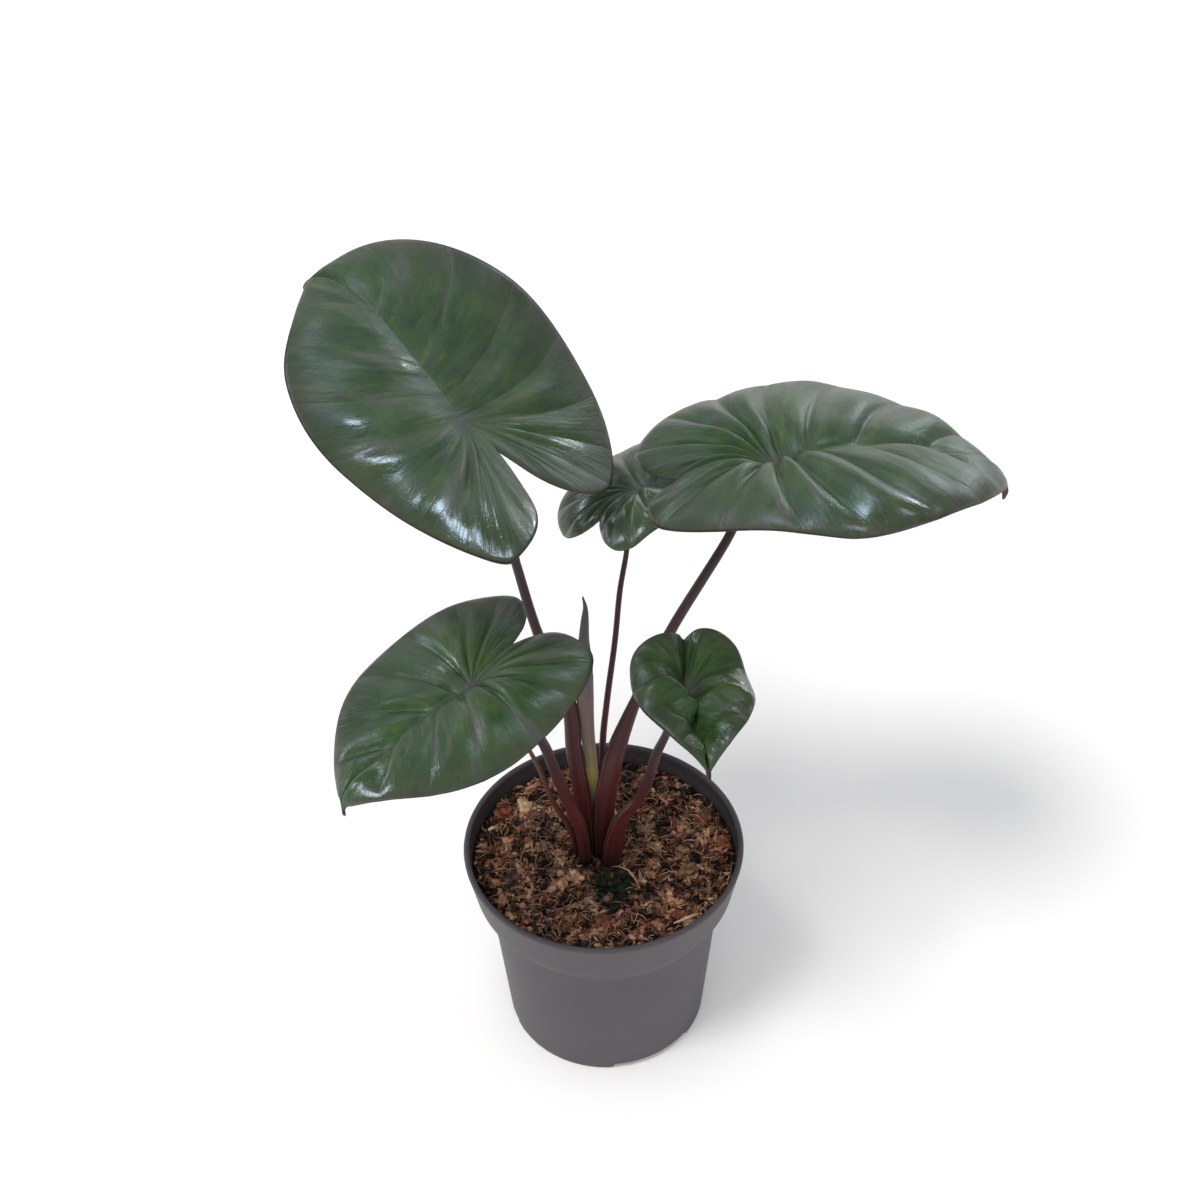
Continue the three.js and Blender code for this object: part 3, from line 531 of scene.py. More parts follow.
def face_finish(name, smooth_places, dull_roughness):
    """The upper face of one blade."""
    finish = Finish(f"leaf_face_{name}", Specular_IOR_Level=0.38, Coat_Roughness=0.12)
    t, vein, branch, rib, spot, streaks, blotch, flat = leaf_patterns(finish)
    x, y, _ = finish.split(flat)
    u_along = finish.split(finish.map("ray"))[0]
    green = finish.ramp(blotch, [
        (0.34, (0.022, 0.055, 0.019)), (0.52, (0.033, 0.078, 0.023)), (0.70, (0.058, 0.108, 0.025))])
    # The grey streaks are partly the blade's own streaky texture and partly painted sheen along the veins.
    green = finish.mix(((streaks - 0.42) * 1.2).held(), green, (0.062, 0.082, 0.052))
    fleck_place = finish.point(u_along * 9, t * 4, x * 6)
    fleck = ((finish.noise(fleck_place, 1.0, 3.0, 0.6) - 0.53) * 7).held() * (1.1 - t).held()
    green = finish.mix(fleck * 0.6, green, (0.088, 0.135, 0.022))
    # Broad bands along the side veins raise ridges in the bump. They are also painted pale grey toward the
    # margin as painted sheen on the ridges, and dark green between as painted shade in the valleys.
    sheen_ridge_place = finish.point(u_along * 2.6, t * 1.1, x * 3)
    sheen_ridges = finish.noise(sheen_ridge_place, 1.0, 2.0, 0.5)
    green = finish.mix(((sheen_ridges - 0.56) * 12).held() * (t * 1.5).held() * 0.65, green, (0.090, 0.096, 0.084))
    green = finish.mix(((0.46 - sheen_ridges) * 8).held() * 0.45, green, (0.016, 0.040, 0.017))
    brown_share = ((t - 0.60) * 1.9 + (blotch - 0.5) * 1.4 + (streaks - 0.5) * 0.8).held()
    face = finish.mix(brown_share * 0.7, green, (0.060, 0.052, 0.045))
    face = finish.mix(branch * 0.18, face, (0.018, 0.028, 0.018))
    face = finish.mix((vein * 0.18 + rib * 0.50 + spot * 0.75).held(), face, (0.085, 0.082, 0.085))
    face = finish.mix(((t - 0.985) * 90).held(), face, (0.025, 0.012, 0.014))
    finish.set("Base Color", face)
    shine = 0.0
    for place_x, place_y, half_x, half_y in smooth_places:
        off_x = (x * 100 - place_x) / half_x
        off_y = (y * 100 - place_y) / half_y
        shine = shine + (1.5 - (off_x * off_x + off_y * off_y) ** 0.5 + (streaks - 0.5) * 1.6).held()
    shine = shine.held()
    groove_place = finish.point(u_along * 6, t * 1.5, x * 3)
    groove = (1 - abs(finish.noise(groove_place, 1.0, 1.0) - 0.5) * 16).held() * shine
    dull = dull_roughness + (streaks - 0.5) * 0.20 + spot * 0.1
    finish.set("Roughness", (dull - shine * (dull_roughness - SMOOTH_ROUGHNESS) + groove * 0.2).held())
    finish.set("Coat Weight", (shine * 0.45 - groove * 0.3).held())
    fine = finish.noise(flat, 140.0, 2.0)
    height = streaks * 0.9 + sheen_ridges * 1.4 - vein * 0.35 - branch * 0.10 - rib * 0.4
    finish.bump(height + fine * 0.06 - groove * 0.06, 0.45, 0.0007)
    return finish


under_finish = Finish("leaf_back", Roughness=0.5, Specular_IOR_Level=0.4)
t, vein, branch, rib, spot, streaks, blotch, flat = leaf_patterns(under_finish)
plum = under_finish.ramp(blotch, [(0.3, (0.050, 0.018, 0.022)), (0.7, (0.080, 0.033, 0.034))])
plum = under_finish.mix((vein * 0.6 + rib * 0.8).held(), plum, (0.13, 0.06, 0.06))
under_finish.set("Base Color", under_finish.mix(branch * 0.3, plum, (0.04, 0.016, 0.022)))
under_finish.set("Roughness", 0.42 + streaks * 0.16)
under_finish.bump(vein + rib + streaks * 0.25 + branch * 0.3, 0.5, 0.0007)

edge_finish = Finish("leaf_edge", Roughness=0.4)
edge_tone = edge_finish.noise(edge_finish.object_place(), 90.0)
edge_brown = edge_finish.ramp(edge_tone, [(0.3, (0.022, 0.014, 0.014)), (0.7, (0.055, 0.032, 0.030))])
edge_finish.set("Base Color", edge_brown)

for name, leaf in BLADES.items():
    top_finish = face_finish(name, SMOOTH_PLACES[name], DULL_ROUGHNESS[name])
    blade = object_from(blade_mesh(leaf), f"leaf_{name}", [top_finish, under_finish, edge_finish])
    sheet = blade.modifiers.new("thickness", "SOLIDIFY")
    sheet.thickness = BLADE_THICK * MM
    sheet.offset = -1
    sheet.material_offset = 1
    sheet.material_offset_rim = 2
    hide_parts(f"blade_{name}")
    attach(blade, "root")

# Leaf stalks
# Each stalk is a fleshy dark red-brown rod. Its lower third widens into a sheath, a gutter with thin pale
# edges that wraps the next younger stalk, and its top turns square into the blade.
STALKS = {
    "upper_left": [
        (-6.5, 2.6, 94.2, 6, 4.4), (-7.7, 2.8, 112.3, 7, 4.8), (-9, 4, 130.5, 7.2, 5),
        (-11.4, 6, 151.4, 6.8, 5), (-12.8, 8, 175.7, 6.4, 4.8), (-24.4, 11, 213.8, 4.2, 4),
        (-31.5, 13, 248.6, 3.8, 3.6), (-39.4, 15, 291, 3.4, 3.2)],
    "upper_right": [
        (-0.8, -0.4, 94.2, 6.6, 4.6), (0.4, -0.5, 115.3, 8.6, 5), (1.7, 1, 132.2, 8.8, 5.2),
        (4.7, 3, 148.1, 8.8, 5.2), (7.6, 5, 157.8, 7.6, 5), (14.6, 8, 177.7, 4.8, 4.2),
        (28.5, 13, 210.4, 4.4, 4), (50.5, 17, 254.5, 3.8, 3.6), (61.9, 20, 280, 3.4, 3.4)],
    "back": [
        (0.6, 7, 94.2, 3.4, 3.4), (0.5, 14, 145.3, 2.9, 2.9), (2.8, 20, 166.3, 2.7, 2.7),
        (6.6, 28, 192.8, 2.5, 2.5), (9, 34, 214.8, 2.4, 2.4), (11.7, 38, 230, 2.2, 2.2),
        (14.3, 41, 249, 2.1, 2.1)],
    "lower_left": [
        (-8, -4.4, 94.2, 5, 4.8), (-9.5, -9, 118.7, 5.4, 5), (-14.4, -13, 141.6, 5.2, 4.8),
        (-19.1, -18, 164.8, 4.8, 4.4), (-23.7, -24, 188.2, 4.2, 4), (-37.9, -38, 224.4, 3.6, 3.4)],
    "lower_right": [
        (3, -6.8, 94.2, 7, 3.8), (4.4, -8.6, 107.8, 8.4, 4), (7.3, -10.8, 126, 6.4, 4),
        (14.6, -14, 141.7, 4.8, 3.8), (18.6, -18, 157.7, 4.4, 3.8), (21.9, -22, 176.8, 4, 3.6),
        (25.1, -26, 190.4, 3.4, 3.3), (30.5, -33, 215.5, 3, 3)],
}
SPENT_STALK = [
    (-11.2, -1.2, 94.2, 2.4, 2.4), (-14, -5, 114.8, 2.4, 2.4), (-20.5, -10, 137.5, 2.2, 2.2),
    (-23.6, -14, 154.9, 2, 2), (-28, -22, 178.9, 1.8, 1.8), (-31, -25.5, 190, 1.4, 1.4)]
SHEATHS = {
    "upper_left": dict(top=0.42, opens=-158), "upper_right": dict(top=0.40, opens=-6),
    "lower_left": dict(top=0.30, opens=-165), "lower_right": dict(top=0.36, opens=-14)}
STALK_SIDES = 28
STALK_STEPS_PER_SPAN = 8
STALK_NECK = 7
GAP = 0.3


def along_way(way, f):
    """Point, direction, width and depth at a fraction f of a way rounded through its points."""
    spans = len(way) - 1
    span = min(int(f * spans), spans - 1)
    part = f * spans - span
    points = [Vector(step[:3]) for step in way]
    before = points[span - 1] if span else points[0] * 2 - points[1]
    after = points[span + 2] if span + 2 <= spans else points[-1] * 2 - points[-2]
    p0, p1, p2, p3 = before, points[span], points[span + 1], after
    d0, d1, d2 = ((b - a).length ** 0.5 for a, b in ((p0, p1), (p1, p2), (p2, p3)))
    leave = ((p1 - p0) / d0 - (p2 - p0) / (d0 + d1) + (p2 - p1) / d1) * d1
    reach = ((p2 - p1) / d1 - (p3 - p1) / (d1 + d2) + (p3 - p2) / d2) * d1
    square = (p2 - p1) * 3 - leave * 2 - reach
    cube = (p1 - p2) * 2 + leave + reach
    point = p1 + leave * part + square * part ** 2 + cube * part ** 3
    direction = (leave + square * 2 * part + cube * 3 * part ** 2).normalized()
    width, depth = (way[span][k] * (1 - part) + way[span + 1][k] * part for k in (3, 4))
    return point, direction, width, depth


def rod_mesh(way, shape_of=lambda f, angle: 1.0):
    """A closed rod along a way. shape_of scales its radius at a fraction of the way and an angle round it."""
    work = bmesh.new()
    rod_map = work.loops.layers.uv.new("rod")
    steps = STALK_STEPS_PER_SPAN * (len(way) - 1)
    bmesh.ops.create_grid(work, x_segments=STALK_SIDES, y_segments=steps, size=0.5)
    for vert in work.verts:
        turn_share, f = vert.co.x + 0.5, held(vert.co.y + 0.5)
        angle = 2 * math.pi * turn_share
        point, direction, width, depth = along_way(way, f)
        across = direction.cross(Vector((0, 1, 0))).normalized()
        deep = across.cross(direction)
        size = shape_of(f, angle) / 2
        sideways = across * math.cos(angle) * width * size
        vert.co = (point + sideways + deep * math.sin(angle) * depth * size) * MM
        for loop in vert.link_loops:
            loop[rod_map].uv = (turn_share, f)
    bmesh.ops.remove_doubles(work, verts=work.verts, dist=1e-6)
    bmesh.ops.holes_fill(work, edges=[edge for edge in work.edges if edge.is_boundary])
    bmesh.ops.recalc_face_normals(work, faces=work.faces)
    return work


def sheath_shape(top, opens):
    opening = math.radians(opens)

    def shape(f, angle):
        away = abs((angle - opening + math.pi) % (2 * math.pi) - math.pi)
        low = held((top - f) / 0.12)
        lip = math.exp(-((away - 0.42) / 0.10) ** 2)
        gutter = math.exp(-(away / 0.28) ** 2)
        return 1 + low * (0.07 * lip - 0.24 * gutter)
    return shape


def stalk_finish(name, low, middle, high, top=0.0, opens=0.0):
    finish = Finish(name, Roughness=0.38, Specular_IOR_Level=0.28)
    around, up, _ = finish.split(finish.map("rod"))
    tone = finish.ramp(up, [
        (0.0, (0.018, 0.006, 0.006)), (0.07, (0.040, 0.010, 0.010)), (0.2, low), (0.40, middle),
        (0.75, high)])
    fibre_place = finish.point(around * 34, up * 5, 0.0)
    fibres = finish.noise(fibre_place, 1.0, 4.0)
    mottle = finish.noise(finish.object_place(), 220.0, 3.0)
    tone = finish.mix(((fibres - 0.5) * 0.9).held(), tone, (0.15, 0.055, 0.052))
    tone = finish.mix(((mottle - 0.5) * 1.6).held(), tone, (0.018, 0.006, 0.007))
    if top:
        away = abs((around - opens / 360 + 0.5).math("FRACT") - 0.5)
        lip = (1 - abs(away - 0.067) / 0.014).held() * ((top - up) * 14).held()
        # The gutter of the sheath is painted darker as shade inside its groove. The pale lips along it are the
        # sheath's own edges.
        gutter_shade = (1 - away / 0.05).held() * ((top - up) * 12).held()
        tone = finish.mix(gutter_shade * 0.7, tone, (0.020, 0.007, 0.010))
        tone = finish.mix(lip * 0.7, tone, (0.30, 0.17, 0.15))
    finish.set("Base Color", tone)
    finish.set("Roughness", (0.34 + (fibres - 0.5) * 0.3).held())
    finish.bump(fibres + mottle * 0.2, 0.3, 0.0004)
    return finish


def with_neck(way, leaf):
    """The way of a stalk, ended square to its blade's underside."""
    up = leaf_axes(leaf)[2]
    top = Vector(leaf["at"]) - up * (0.9 + RIB_DEPTH + leaf["dip"] + GAP)
    neck = top - up * STALK_NECK
    size = way[-1][3:]
    return [*way, (*neck, *size), (*top, *size)]


STALK_TONES = ((0.078, 0.014, 0.014), (0.052, 0.013, 0.014), (0.022, 0.015, 0.017))
SPENT_TONES = ((0.11, 0.024, 0.022), (0.085, 0.026, 0.024), (0.11, 0.06, 0.045))
for name, way in STALKS.items():
    sheath = SHEATHS.get(name, {})
    finish = stalk_finish(f"stalk_{name}_skin", *STALK_TONES, **sheath)
    shape = sheath_shape(**sheath) if sheath else lambda f, angle: 1.0
    stalk = object_from(rod_mesh(with_neck(way, BLADES[name]), shape), f"petiole_{name}", [finish])
    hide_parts(f"stalk_{name}")
    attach(stalk, "root")

spent_finish = stalk_finish("spent_stalk_skin", *SPENT_TONES)
spent = object_from(rod_mesh(SPENT_STALK), "petiole_spent", [spent_finish])
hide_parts("stalk_spent")
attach(spent, "root")

# New leaf
# The next blade, still rolled into a spear, stands in a thin papery sheath. The roll is a dark grey-purple
# cone with one spiral edge and a hooked drip tip; the sheath is pink-grey, and yellow-green at its foot.
NEW_LEAF = [
    (-4.4, 7.6, 94.2, 4, 4), (-4, 8.6, 138.2, 4.6, 4.4), (-5.5, 9.2, 156.6, 5.8, 4.6),
    (-6.1, 8.4, 179.4, 7, 4.6), (-6, 7, 199.4, 7, 4.6), (-5.9, 6, 213.6, 4.4, 4),
    (-5.3, 6, 224.3, 3.2, 2.8), (-5, 6, 231, 1.8, 1.6), (-5.9, 6, 236.4, 0.7, 0.7)]
ROLL_START = 4.2
ROLL_TURN = 2.2
SHEATH_SHARE = 0.47


def rolled_shape(f, angle):
    edge = (angle + ROLL_START + ROLL_TURN * f) % (2 * math.pi)
    step = 0.10 * edge / (2 * math.pi)
    papery = 0.05 * held((SHEATH_SHARE - f) / 0.015)
    return 0.93 + step + papery


spear_finish = Finish("rolled_leaf", Roughness=0.42, Specular_IOR_Level=0.45)
around, up, _ = spear_finish.split(spear_finish.map("rod"))
grain_place = spear_finish.point(around * 26, up * 7, 0.0)
grain = spear_finish.noise(grain_place, 1.0, 4.0)
spear_tone = spear_finish.ramp(up, [
    (0.06, (0.050, 0.030, 0.020)), (0.11, (0.42, 0.36, 0.12)), (0.16, (0.28, 0.22, 0.12)),
    (0.24, (0.20, 0.15, 0.125)), (0.44, (0.12, 0.085, 0.085)), (0.49, (0.065, 0.055, 0.058)),
    (0.8, (0.036, 0.034, 0.036))])
spear_tone = spear_finish.mix((grain - 0.45) * 1.4, spear_tone, (0.075, 0.035, 0.045))
edge_line = abs((around + ROLL_START / (2 * math.pi) + up * ROLL_TURN / (2 * math.pi)).math("FRACT") - 0.5)
spear_tone = spear_finish.mix(((edge_line - 0.485) * 60).held(), spear_tone, (0.035, 0.014, 0.018))
spear_finish.set("Base Color", spear_tone)
spear_finish.bump(grain, 0.35, 0.0004)
spear = object_from(rod_mesh(NEW_LEAF, rolled_shape), "new_leaf_spear", [spear_finish])
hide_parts("new_leaf")
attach(spear, "root")

# Pot
# A thin-walled cup moulded in warm grey plastic, with a flared collar, a rounded lip, a foot ring cut by
# three shallow notches and six drain holes in the raised floor between the ring and the centre hub.
POT_HEIGHT = 101
RIM_RADIUS = 60
SHOULDER_Z = 72.6
COLLAR_BOTTOM_Z = 78
COLLAR_BOTTOM_RADIUS = 55.8
BODY_TOP_RADIUS = 50.6
BASE_RADIUS = 43.6
POT_WALL = 1.6
LIP_WIDTH = 2.5
FLOOR_RAISE = 3
FLOOR_TOP_Z = 5
HUB_RADIUS = 14
FOOT_RING_WIDTH = 5.4
NOTCH_WIDTH_DEG = 50
NOTCH_FIRST_DEG = -62
DRAIN_COUNT = 6
DRAIN_RADIUS = 3.5
DRAIN_CIRCLE_RADIUS = 26
DRILL_LENGTH = 8
POT_SIDES = 180
SHOULDER_SOFT = 3.4
SHOULDER_STEPS = 16
INNER_SHOULDER_Z = SHOULDER_Z + 1
INNER_COLLAR_Z = COLLAR_BOTTOM_Z + POT_WALL
RING_INSIDE = BASE_RADIUS - FOOT_RING_WIDTH
LIP_INSIDE = RIM_RADIUS - LIP_WIDTH


def body_radius(z):
    return BASE_RADIUS + (BODY_TOP_RADIUS - BASE_RADIUS) * z / COLLAR_BOTTOM_Z


def collar_radius(z):
    flare = (RIM_RADIUS - COLLAR_BOTTOM_RADIUS) * (z - COLLAR_BOTTOM_Z) / (POT_HEIGHT - COLLAR_BOTTOM_Z)
    return COLLAR_BOTTOM_RADIUS + flare


def pot_inner_radius(z):
    if z > INNER_COLLAR_Z:
        return collar_radius(z) - POT_WALL
    up = held((z - INNER_SHOULDER_Z) / (INNER_COLLAR_Z - INNER_SHOULDER_Z))
    return body_radius(min(z, INNER_SHOULDER_Z)) * (1 - up) + collar_radius(INNER_COLLAR_Z) * up - POT_WALL


def turned(profile, sides):
    """A closed solid of revolution from a profile of radius and height in millimetres, axis to axis."""
    work = bmesh.new()
    ring = [work.verts.new((r * MM, 0, z * MM)) for r, z in profile]
    edges = [work.edges.new(pair) for pair in zip(ring, ring[1:])]
    bmesh.ops.spin(work, geom=[*ring, *edges], cent=(0, 0, 0), axis=(0, 0, 1), angle=2 * math.pi, steps=sides,
                   use_merge=True)
    bmesh.ops.remove_doubles(work, verts=work.verts, dist=1e-6)
    bmesh.ops.recalc_face_normals(work, faces=work.faces)
    return work


def rounded_shoulder():
    """The soft step from body to collar: a smooth ramp about the straight shoulder between them."""
    rise = COLLAR_BOTTOM_Z - SHOULDER_Z + 2 * SHOULDER_SOFT
    steps = [SHOULDER_Z - SHOULDER_SOFT + k * rise / SHOULDER_STEPS for k in range(SHOULDER_STEPS + 1)]
    points = []
    for z in steps:
        up = held((z - steps[0]) / (steps[-1] - steps[0]))
        share = up * up * (3 - 2 * up)
        points.append((body_radius(z) * (1 - share) + collar_radius(z) * share, z))
    return points


lip_z = POT_HEIGHT - 1.4
pot_work = turned([
    (0, 0), (HUB_RADIUS, 0), (HUB_RADIUS + 0.6, FLOOR_RAISE), (RING_INSIDE - 0.6, FLOOR_RAISE),
    (RING_INSIDE, 0), (BASE_RADIUS - 0.9, 0), (BASE_RADIUS - 0.25, 0.25), (BASE_RADIUS + 0.05, 0.9),
    (BASE_RADIUS + 0.27, 3), (BASE_RADIUS + 0.9, 10), (body_radius(60), 60), *rounded_shoulder(),
    (RIM_RADIUS - 0.5, lip_z - 2.2), (RIM_RADIUS - 0.1, lip_z - 0.6), (RIM_RADIUS, lip_z + 0.2),
    (RIM_RADIUS - 0.12, POT_HEIGHT - 0.6), (RIM_RADIUS - 0.5, POT_HEIGHT - 0.18),
    (RIM_RADIUS - 1, POT_HEIGHT), (LIP_INSIDE + 0.9, POT_HEIGHT), (LIP_INSIDE + 0.3, POT_HEIGHT - 0.25),
    (LIP_INSIDE, POT_HEIGHT - 0.8), (LIP_INSIDE, lip_z - 1), (pot_inner_radius(lip_z - 2), lip_z - 2),
    (pot_inner_radius(INNER_COLLAR_Z), INNER_COLLAR_Z),
    (pot_inner_radius(INNER_SHOULDER_Z), INNER_SHOULDER_Z), (pot_inner_radius(FLOOR_TOP_Z), FLOOR_TOP_Z),
    (0, FLOOR_TOP_Z),
], POT_SIDES)
for vert in pot_work.verts:
    radius = math.hypot(vert.co.x, vert.co.y) / MM
    bearing = math.degrees(math.atan2(vert.co.y, vert.co.x))
    off_notch = abs((bearing - NOTCH_FIRST_DEG + 60) % 120 - 60)
    under_ring = vert.co.z < 2 * MM and radius > RING_INSIDE - 0.3
    if under_ring and off_notch < NOTCH_WIDTH_DEG / 2:
        vert.co.z = FLOOR_RAISE * MM - 0.00002 * (BASE_RADIUS + 1 - radius)

pot_finish = Finish("grey_moulded_plastic", Roughness=0.42, Specular_IOR_Level=0.32)
place = pot_finish.object_place()
cloud = pot_finish.noise(place, 14.0, 3.0)
speck = pot_finish.noise(place, 900.0, 2.0)
dust = pot_finish.noise(place, 130.0, 4.0, 0.7)
x, y, z = pot_finish.split(place)
grey = pot_finish.ramp(cloud, [(0.3, (0.071, 0.060, 0.067)), (0.7, (0.087, 0.074, 0.082))])
outside = z * ((RIM_RADIUS - COLLAR_BOTTOM_RADIUS) / (POT_HEIGHT - COLLAR_BOTTOM_Z)) + collar_radius(0) * MM
# Inner wall above the soil: its grey is painted darker as shade inside the pot. The brown dust mixed in there
# is real.
inner = ((outside - (x * x + y * y) ** 0.5 - 0.0010) * 3000).held() * ((z - 0.080) * 900).held()
grey = pot_finish.mix(inner * 0.55, grey, (0.045, 0.040, 0.043))
grey = pot_finish.mix(inner * ((dust - 0.55) * 5).held() * 0.5, grey, (0.16, 0.09, 0.055))
pot_finish.set("Base Color", grey)
pot_finish.set("Roughness", 0.44 + cloud * 0.08 + inner * 0.2 + speck * 0.04)
pot_finish.bump(speck * 0.5 + cloud * 0.5, 0.12, 0.0003)

pot = object_from(pot_work, "nursery_pot", [pot_finish])
drill_work = bmesh.new()
for hole in range(DRAIN_COUNT):
    bearing = 2 * math.pi * hole / DRAIN_COUNT
    away = (math.cos(bearing) * DRAIN_CIRCLE_RADIUS, math.sin(bearing) * DRAIN_CIRCLE_RADIUS)
    centre = Vector((*away, DRILL_LENGTH / 2)) * MM
    bmesh.ops.create_cone(drill_work, cap_ends=True, segments=32, radius1=DRAIN_RADIUS * MM,
                          radius2=DRAIN_RADIUS * MM, depth=DRILL_LENGTH * MM, matrix=Matrix.Translation(centre))
drill = object_from(drill_work, "drill", [pot_finish])
cut = pot.modifiers.new("drains", "BOOLEAN")
cut.operation = "DIFFERENCE"
cut.solver = "EXACT"
cut.object = drill
drilled = bpy.data.meshes.new_from_object(pot.evaluated_get(bpy.context.evaluated_depsgraph_get()))
pot.modifiers.clear()
pot.data = drilled
bpy.data.objects.remove(drill)
pot.data.polygons.foreach_set("use_smooth", [True] * len(pot.data.polygons))
pot.data.set_sharp_from_angle(angle=math.radians(40))
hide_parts("pot")
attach(pot, "root")

# Soil
# A coarse mix of coir crumbs, bark chips and fibres, filled to a little below the rim. It is packed firm
# below and loose on top, with a hollow in front of the crown where the crumbs are darker and dark green.
SOIL_TOP_Z = 92.6
SOIL_ROUGHNESS = 1.3
HOLLOW_AT = (6, -18)
HOLLOW_RADIUS = 7
HOLLOW_DEPTH = 3
CORM_CENTRE = (-1.5, 0)
CRUMBS = 8300
SMALL_CRUMB = 0.75
DARK_PATCH_AT = (3.5, -16.5)
DARK_PATCH_REACH = (8, 13)
chance = random.Random(41)


def from_corm(px, py):
    return math.hypot(px - CORM_CENTRE[0], py - CORM_CENTRE[1])


def from_dark_patch(px, py):
    """Distance from the middle of the dark green patch, 1 at its edge."""
    return math.hypot((px - DARK_PATCH_AT[0]) / DARK_PATCH_REACH[0], (py - DARK_PATCH_AT[1]) / DARK_PATCH_REACH[1])


def patchy(px, py, fineness, layer):
    return noise.noise(Vector((px * fineness, py * fineness, layer)))


def soil_height(px, py):
    rolling = (math.sin(px * 0.31 + 1.7) * math.cos(py * 0.27) + 0.6 * math.sin(px * 0.71 - py * 0.53)
               + 0.5 * math.cos(px * 0.19 + py * 0.83))
    hollow = math.hypot(px - HOLLOW_AT[0], py - HOLLOW_AT[1]) / HOLLOW_RADIUS
    by_corm = math.exp(-((from_corm(px, py) / 16) ** 4))
    rough = SOIL_ROUGHNESS * 0.45 * rolling * (1 - 0.7 * by_corm)
    return SOIL_TOP_Z + rough - HOLLOW_DEPTH * math.exp(-hollow * hollow) + 0.3 * by_corm


soil_edge = pot_inner_radius(SOIL_TOP_Z - 1.5) - GAP
soil_profile = [
    (0, FLOOR_TOP_Z + GAP), (pot_inner_radius(FLOOR_TOP_Z) - GAP, FLOOR_TOP_Z + GAP),
    (pot_inner_radius(INNER_SHOULDER_Z) - GAP, INNER_SHOULDER_Z + GAP),
    (pot_inner_radius(INNER_COLLAR_Z) - GAP, INNER_COLLAR_Z + GAP)]
soil_profile += [(soil_edge * (1 - ring / 60), SOIL_TOP_Z) for ring in range(61)]
soil_work = turned(soil_profile, 200)
tone_map = soil_work.loops.layers.uv.new("tone")
# The bed under the crumbs gets a low tone, so it is painted dark as the shade in the gaps between them.
for vert in soil_work.verts:
    if vert.co.z > (SOIL_TOP_Z - 0.1) * MM:
        px, py = vert.co.x / MM, vert.co.y / MM
        grit = patchy(px, py, 0.8, 3) * 1.1 + patchy(px, py, 2.1, 9) * 0.6
        vert.co.z = (soil_height(px, py) - 0.9 + grit * held((soil_edge - math.hypot(px, py)) / 2)) * MM
    for loop in vert.link_loops:
        loop[tone_map].uv = (0.16, 0.5)


def add_bits(target, count, make):
    """Adds small pieces to a mesh in batches, each piece made in a work mesh of its own batch."""
    batch = bmesh.new()
    layer = batch.loops.layers.uv.new("tone")
    for number in range(count):
        make(batch, layer, number)
        if number % 120 == 119 or number == count - 1:
            holder = bpy.data.meshes.new("batch")
            batch.to_mesh(holder)
            target.from_mesh(holder)
            bpy.data.meshes.remove(holder)
            batch.free()
            batch = bmesh.new()
            layer = batch.loops.layers.uv.new("tone")
    batch.free()


def crumb(batch, layer, place, size, stretch, tone, second):
    made = bmesh.ops.create_icosphere(batch, subdivisions=1, radius=1.0)
    spin = Matrix.Rotation(chance.uniform(0, 2 * math.pi), 3, "Z")
    spin = spin @ Matrix.Rotation(chance.uniform(-0.9, 0.9), 3, "X")
    for vert in made["verts"]:
        knock = Vector([chance.uniform(-0.3, 0.3) for axis in range(3)])
        grown = vert.co + knock
        sized = Vector((grown.x * size * stretch, grown.y * size, grown.z * size * 0.75))
        vert.co = (spin @ sized + place) * MM
        for loop in vert.link_loops:
            loop[layer].uv = (tone, second)


def scattered(reach_from, reach_to):
    reach = math.sqrt(chance.uniform(reach_from ** 2, reach_to ** 2))
    bearing = chance.uniform(0, 2 * math.pi)
    return reach * math.cos(bearing), reach * math.sin(bearing)


def in_a_stalk(px, py, size):
    feet = [way[0] for way in (*STALKS.values(), SPENT_STALK, NEW_LEAF)]
    return any(math.hypot((px - foot[0]) / (foot[3] / 2 + size), (py - foot[1]) / (foot[4] / 2 + size)) < 1
               for foot in feet)


def loose_crumb(batch, layer, number):
    size = chance.uniform(0.35, SMALL_CRUMB) if chance.random() < 0.80 else chance.uniform(SMALL_CRUMB, 1.6)
    px, py = scattered(2.0, soil_edge - size * 1.6) if number % 12 else scattered(2.0, 14.0)
    if in_a_stalk(px, py, size):
        return
    clump = patchy(px, py, 0.13, 5) + 0.6 * patchy(px, py, 0.3, 8)
    tone = held(0.46 + clump * 0.62 + chance.gauss(0, 0.17))
    dark_patch_reach = from_dark_patch(px, py) + 0.35 * patchy(px, py, 0.5, 1)
    hue = held(0.5 + 0.9 * patchy(px, py, 0.09, 15) + chance.gauss(0, 0.22))
    # Most crumbs in the patch are made darker and tinted dark green.
    if dark_patch_reach < 1 and chance.random() < 0.85:
        tone *= chance.uniform(0.2, 0.75)
        hue = 1.5
    lift = chance.uniform(-0.8, 0.7) if size < SMALL_CRUMB else chance.uniform(-0.7, 0.3)
    # Crumbs close to the crown are painted darker as shade between the crowded stalk feet.
    tone -= 0.3 * math.exp(-(from_corm(px, py) / 11) ** 4)
    if dark_patch_reach > 0.7:
        lift += chance.uniform(0, 3.2) * math.exp(-(from_corm(px, py) / 9) ** 4)
    place = Vector((px, py, soil_height(px, py) + lift))
    stretch = chance.choice((1.0, 1.3, 2.4, 3.2)) if size < SMALL_CRUMB else 1.3
    crumb(batch, layer, place, size, stretch, held(tone), hue)


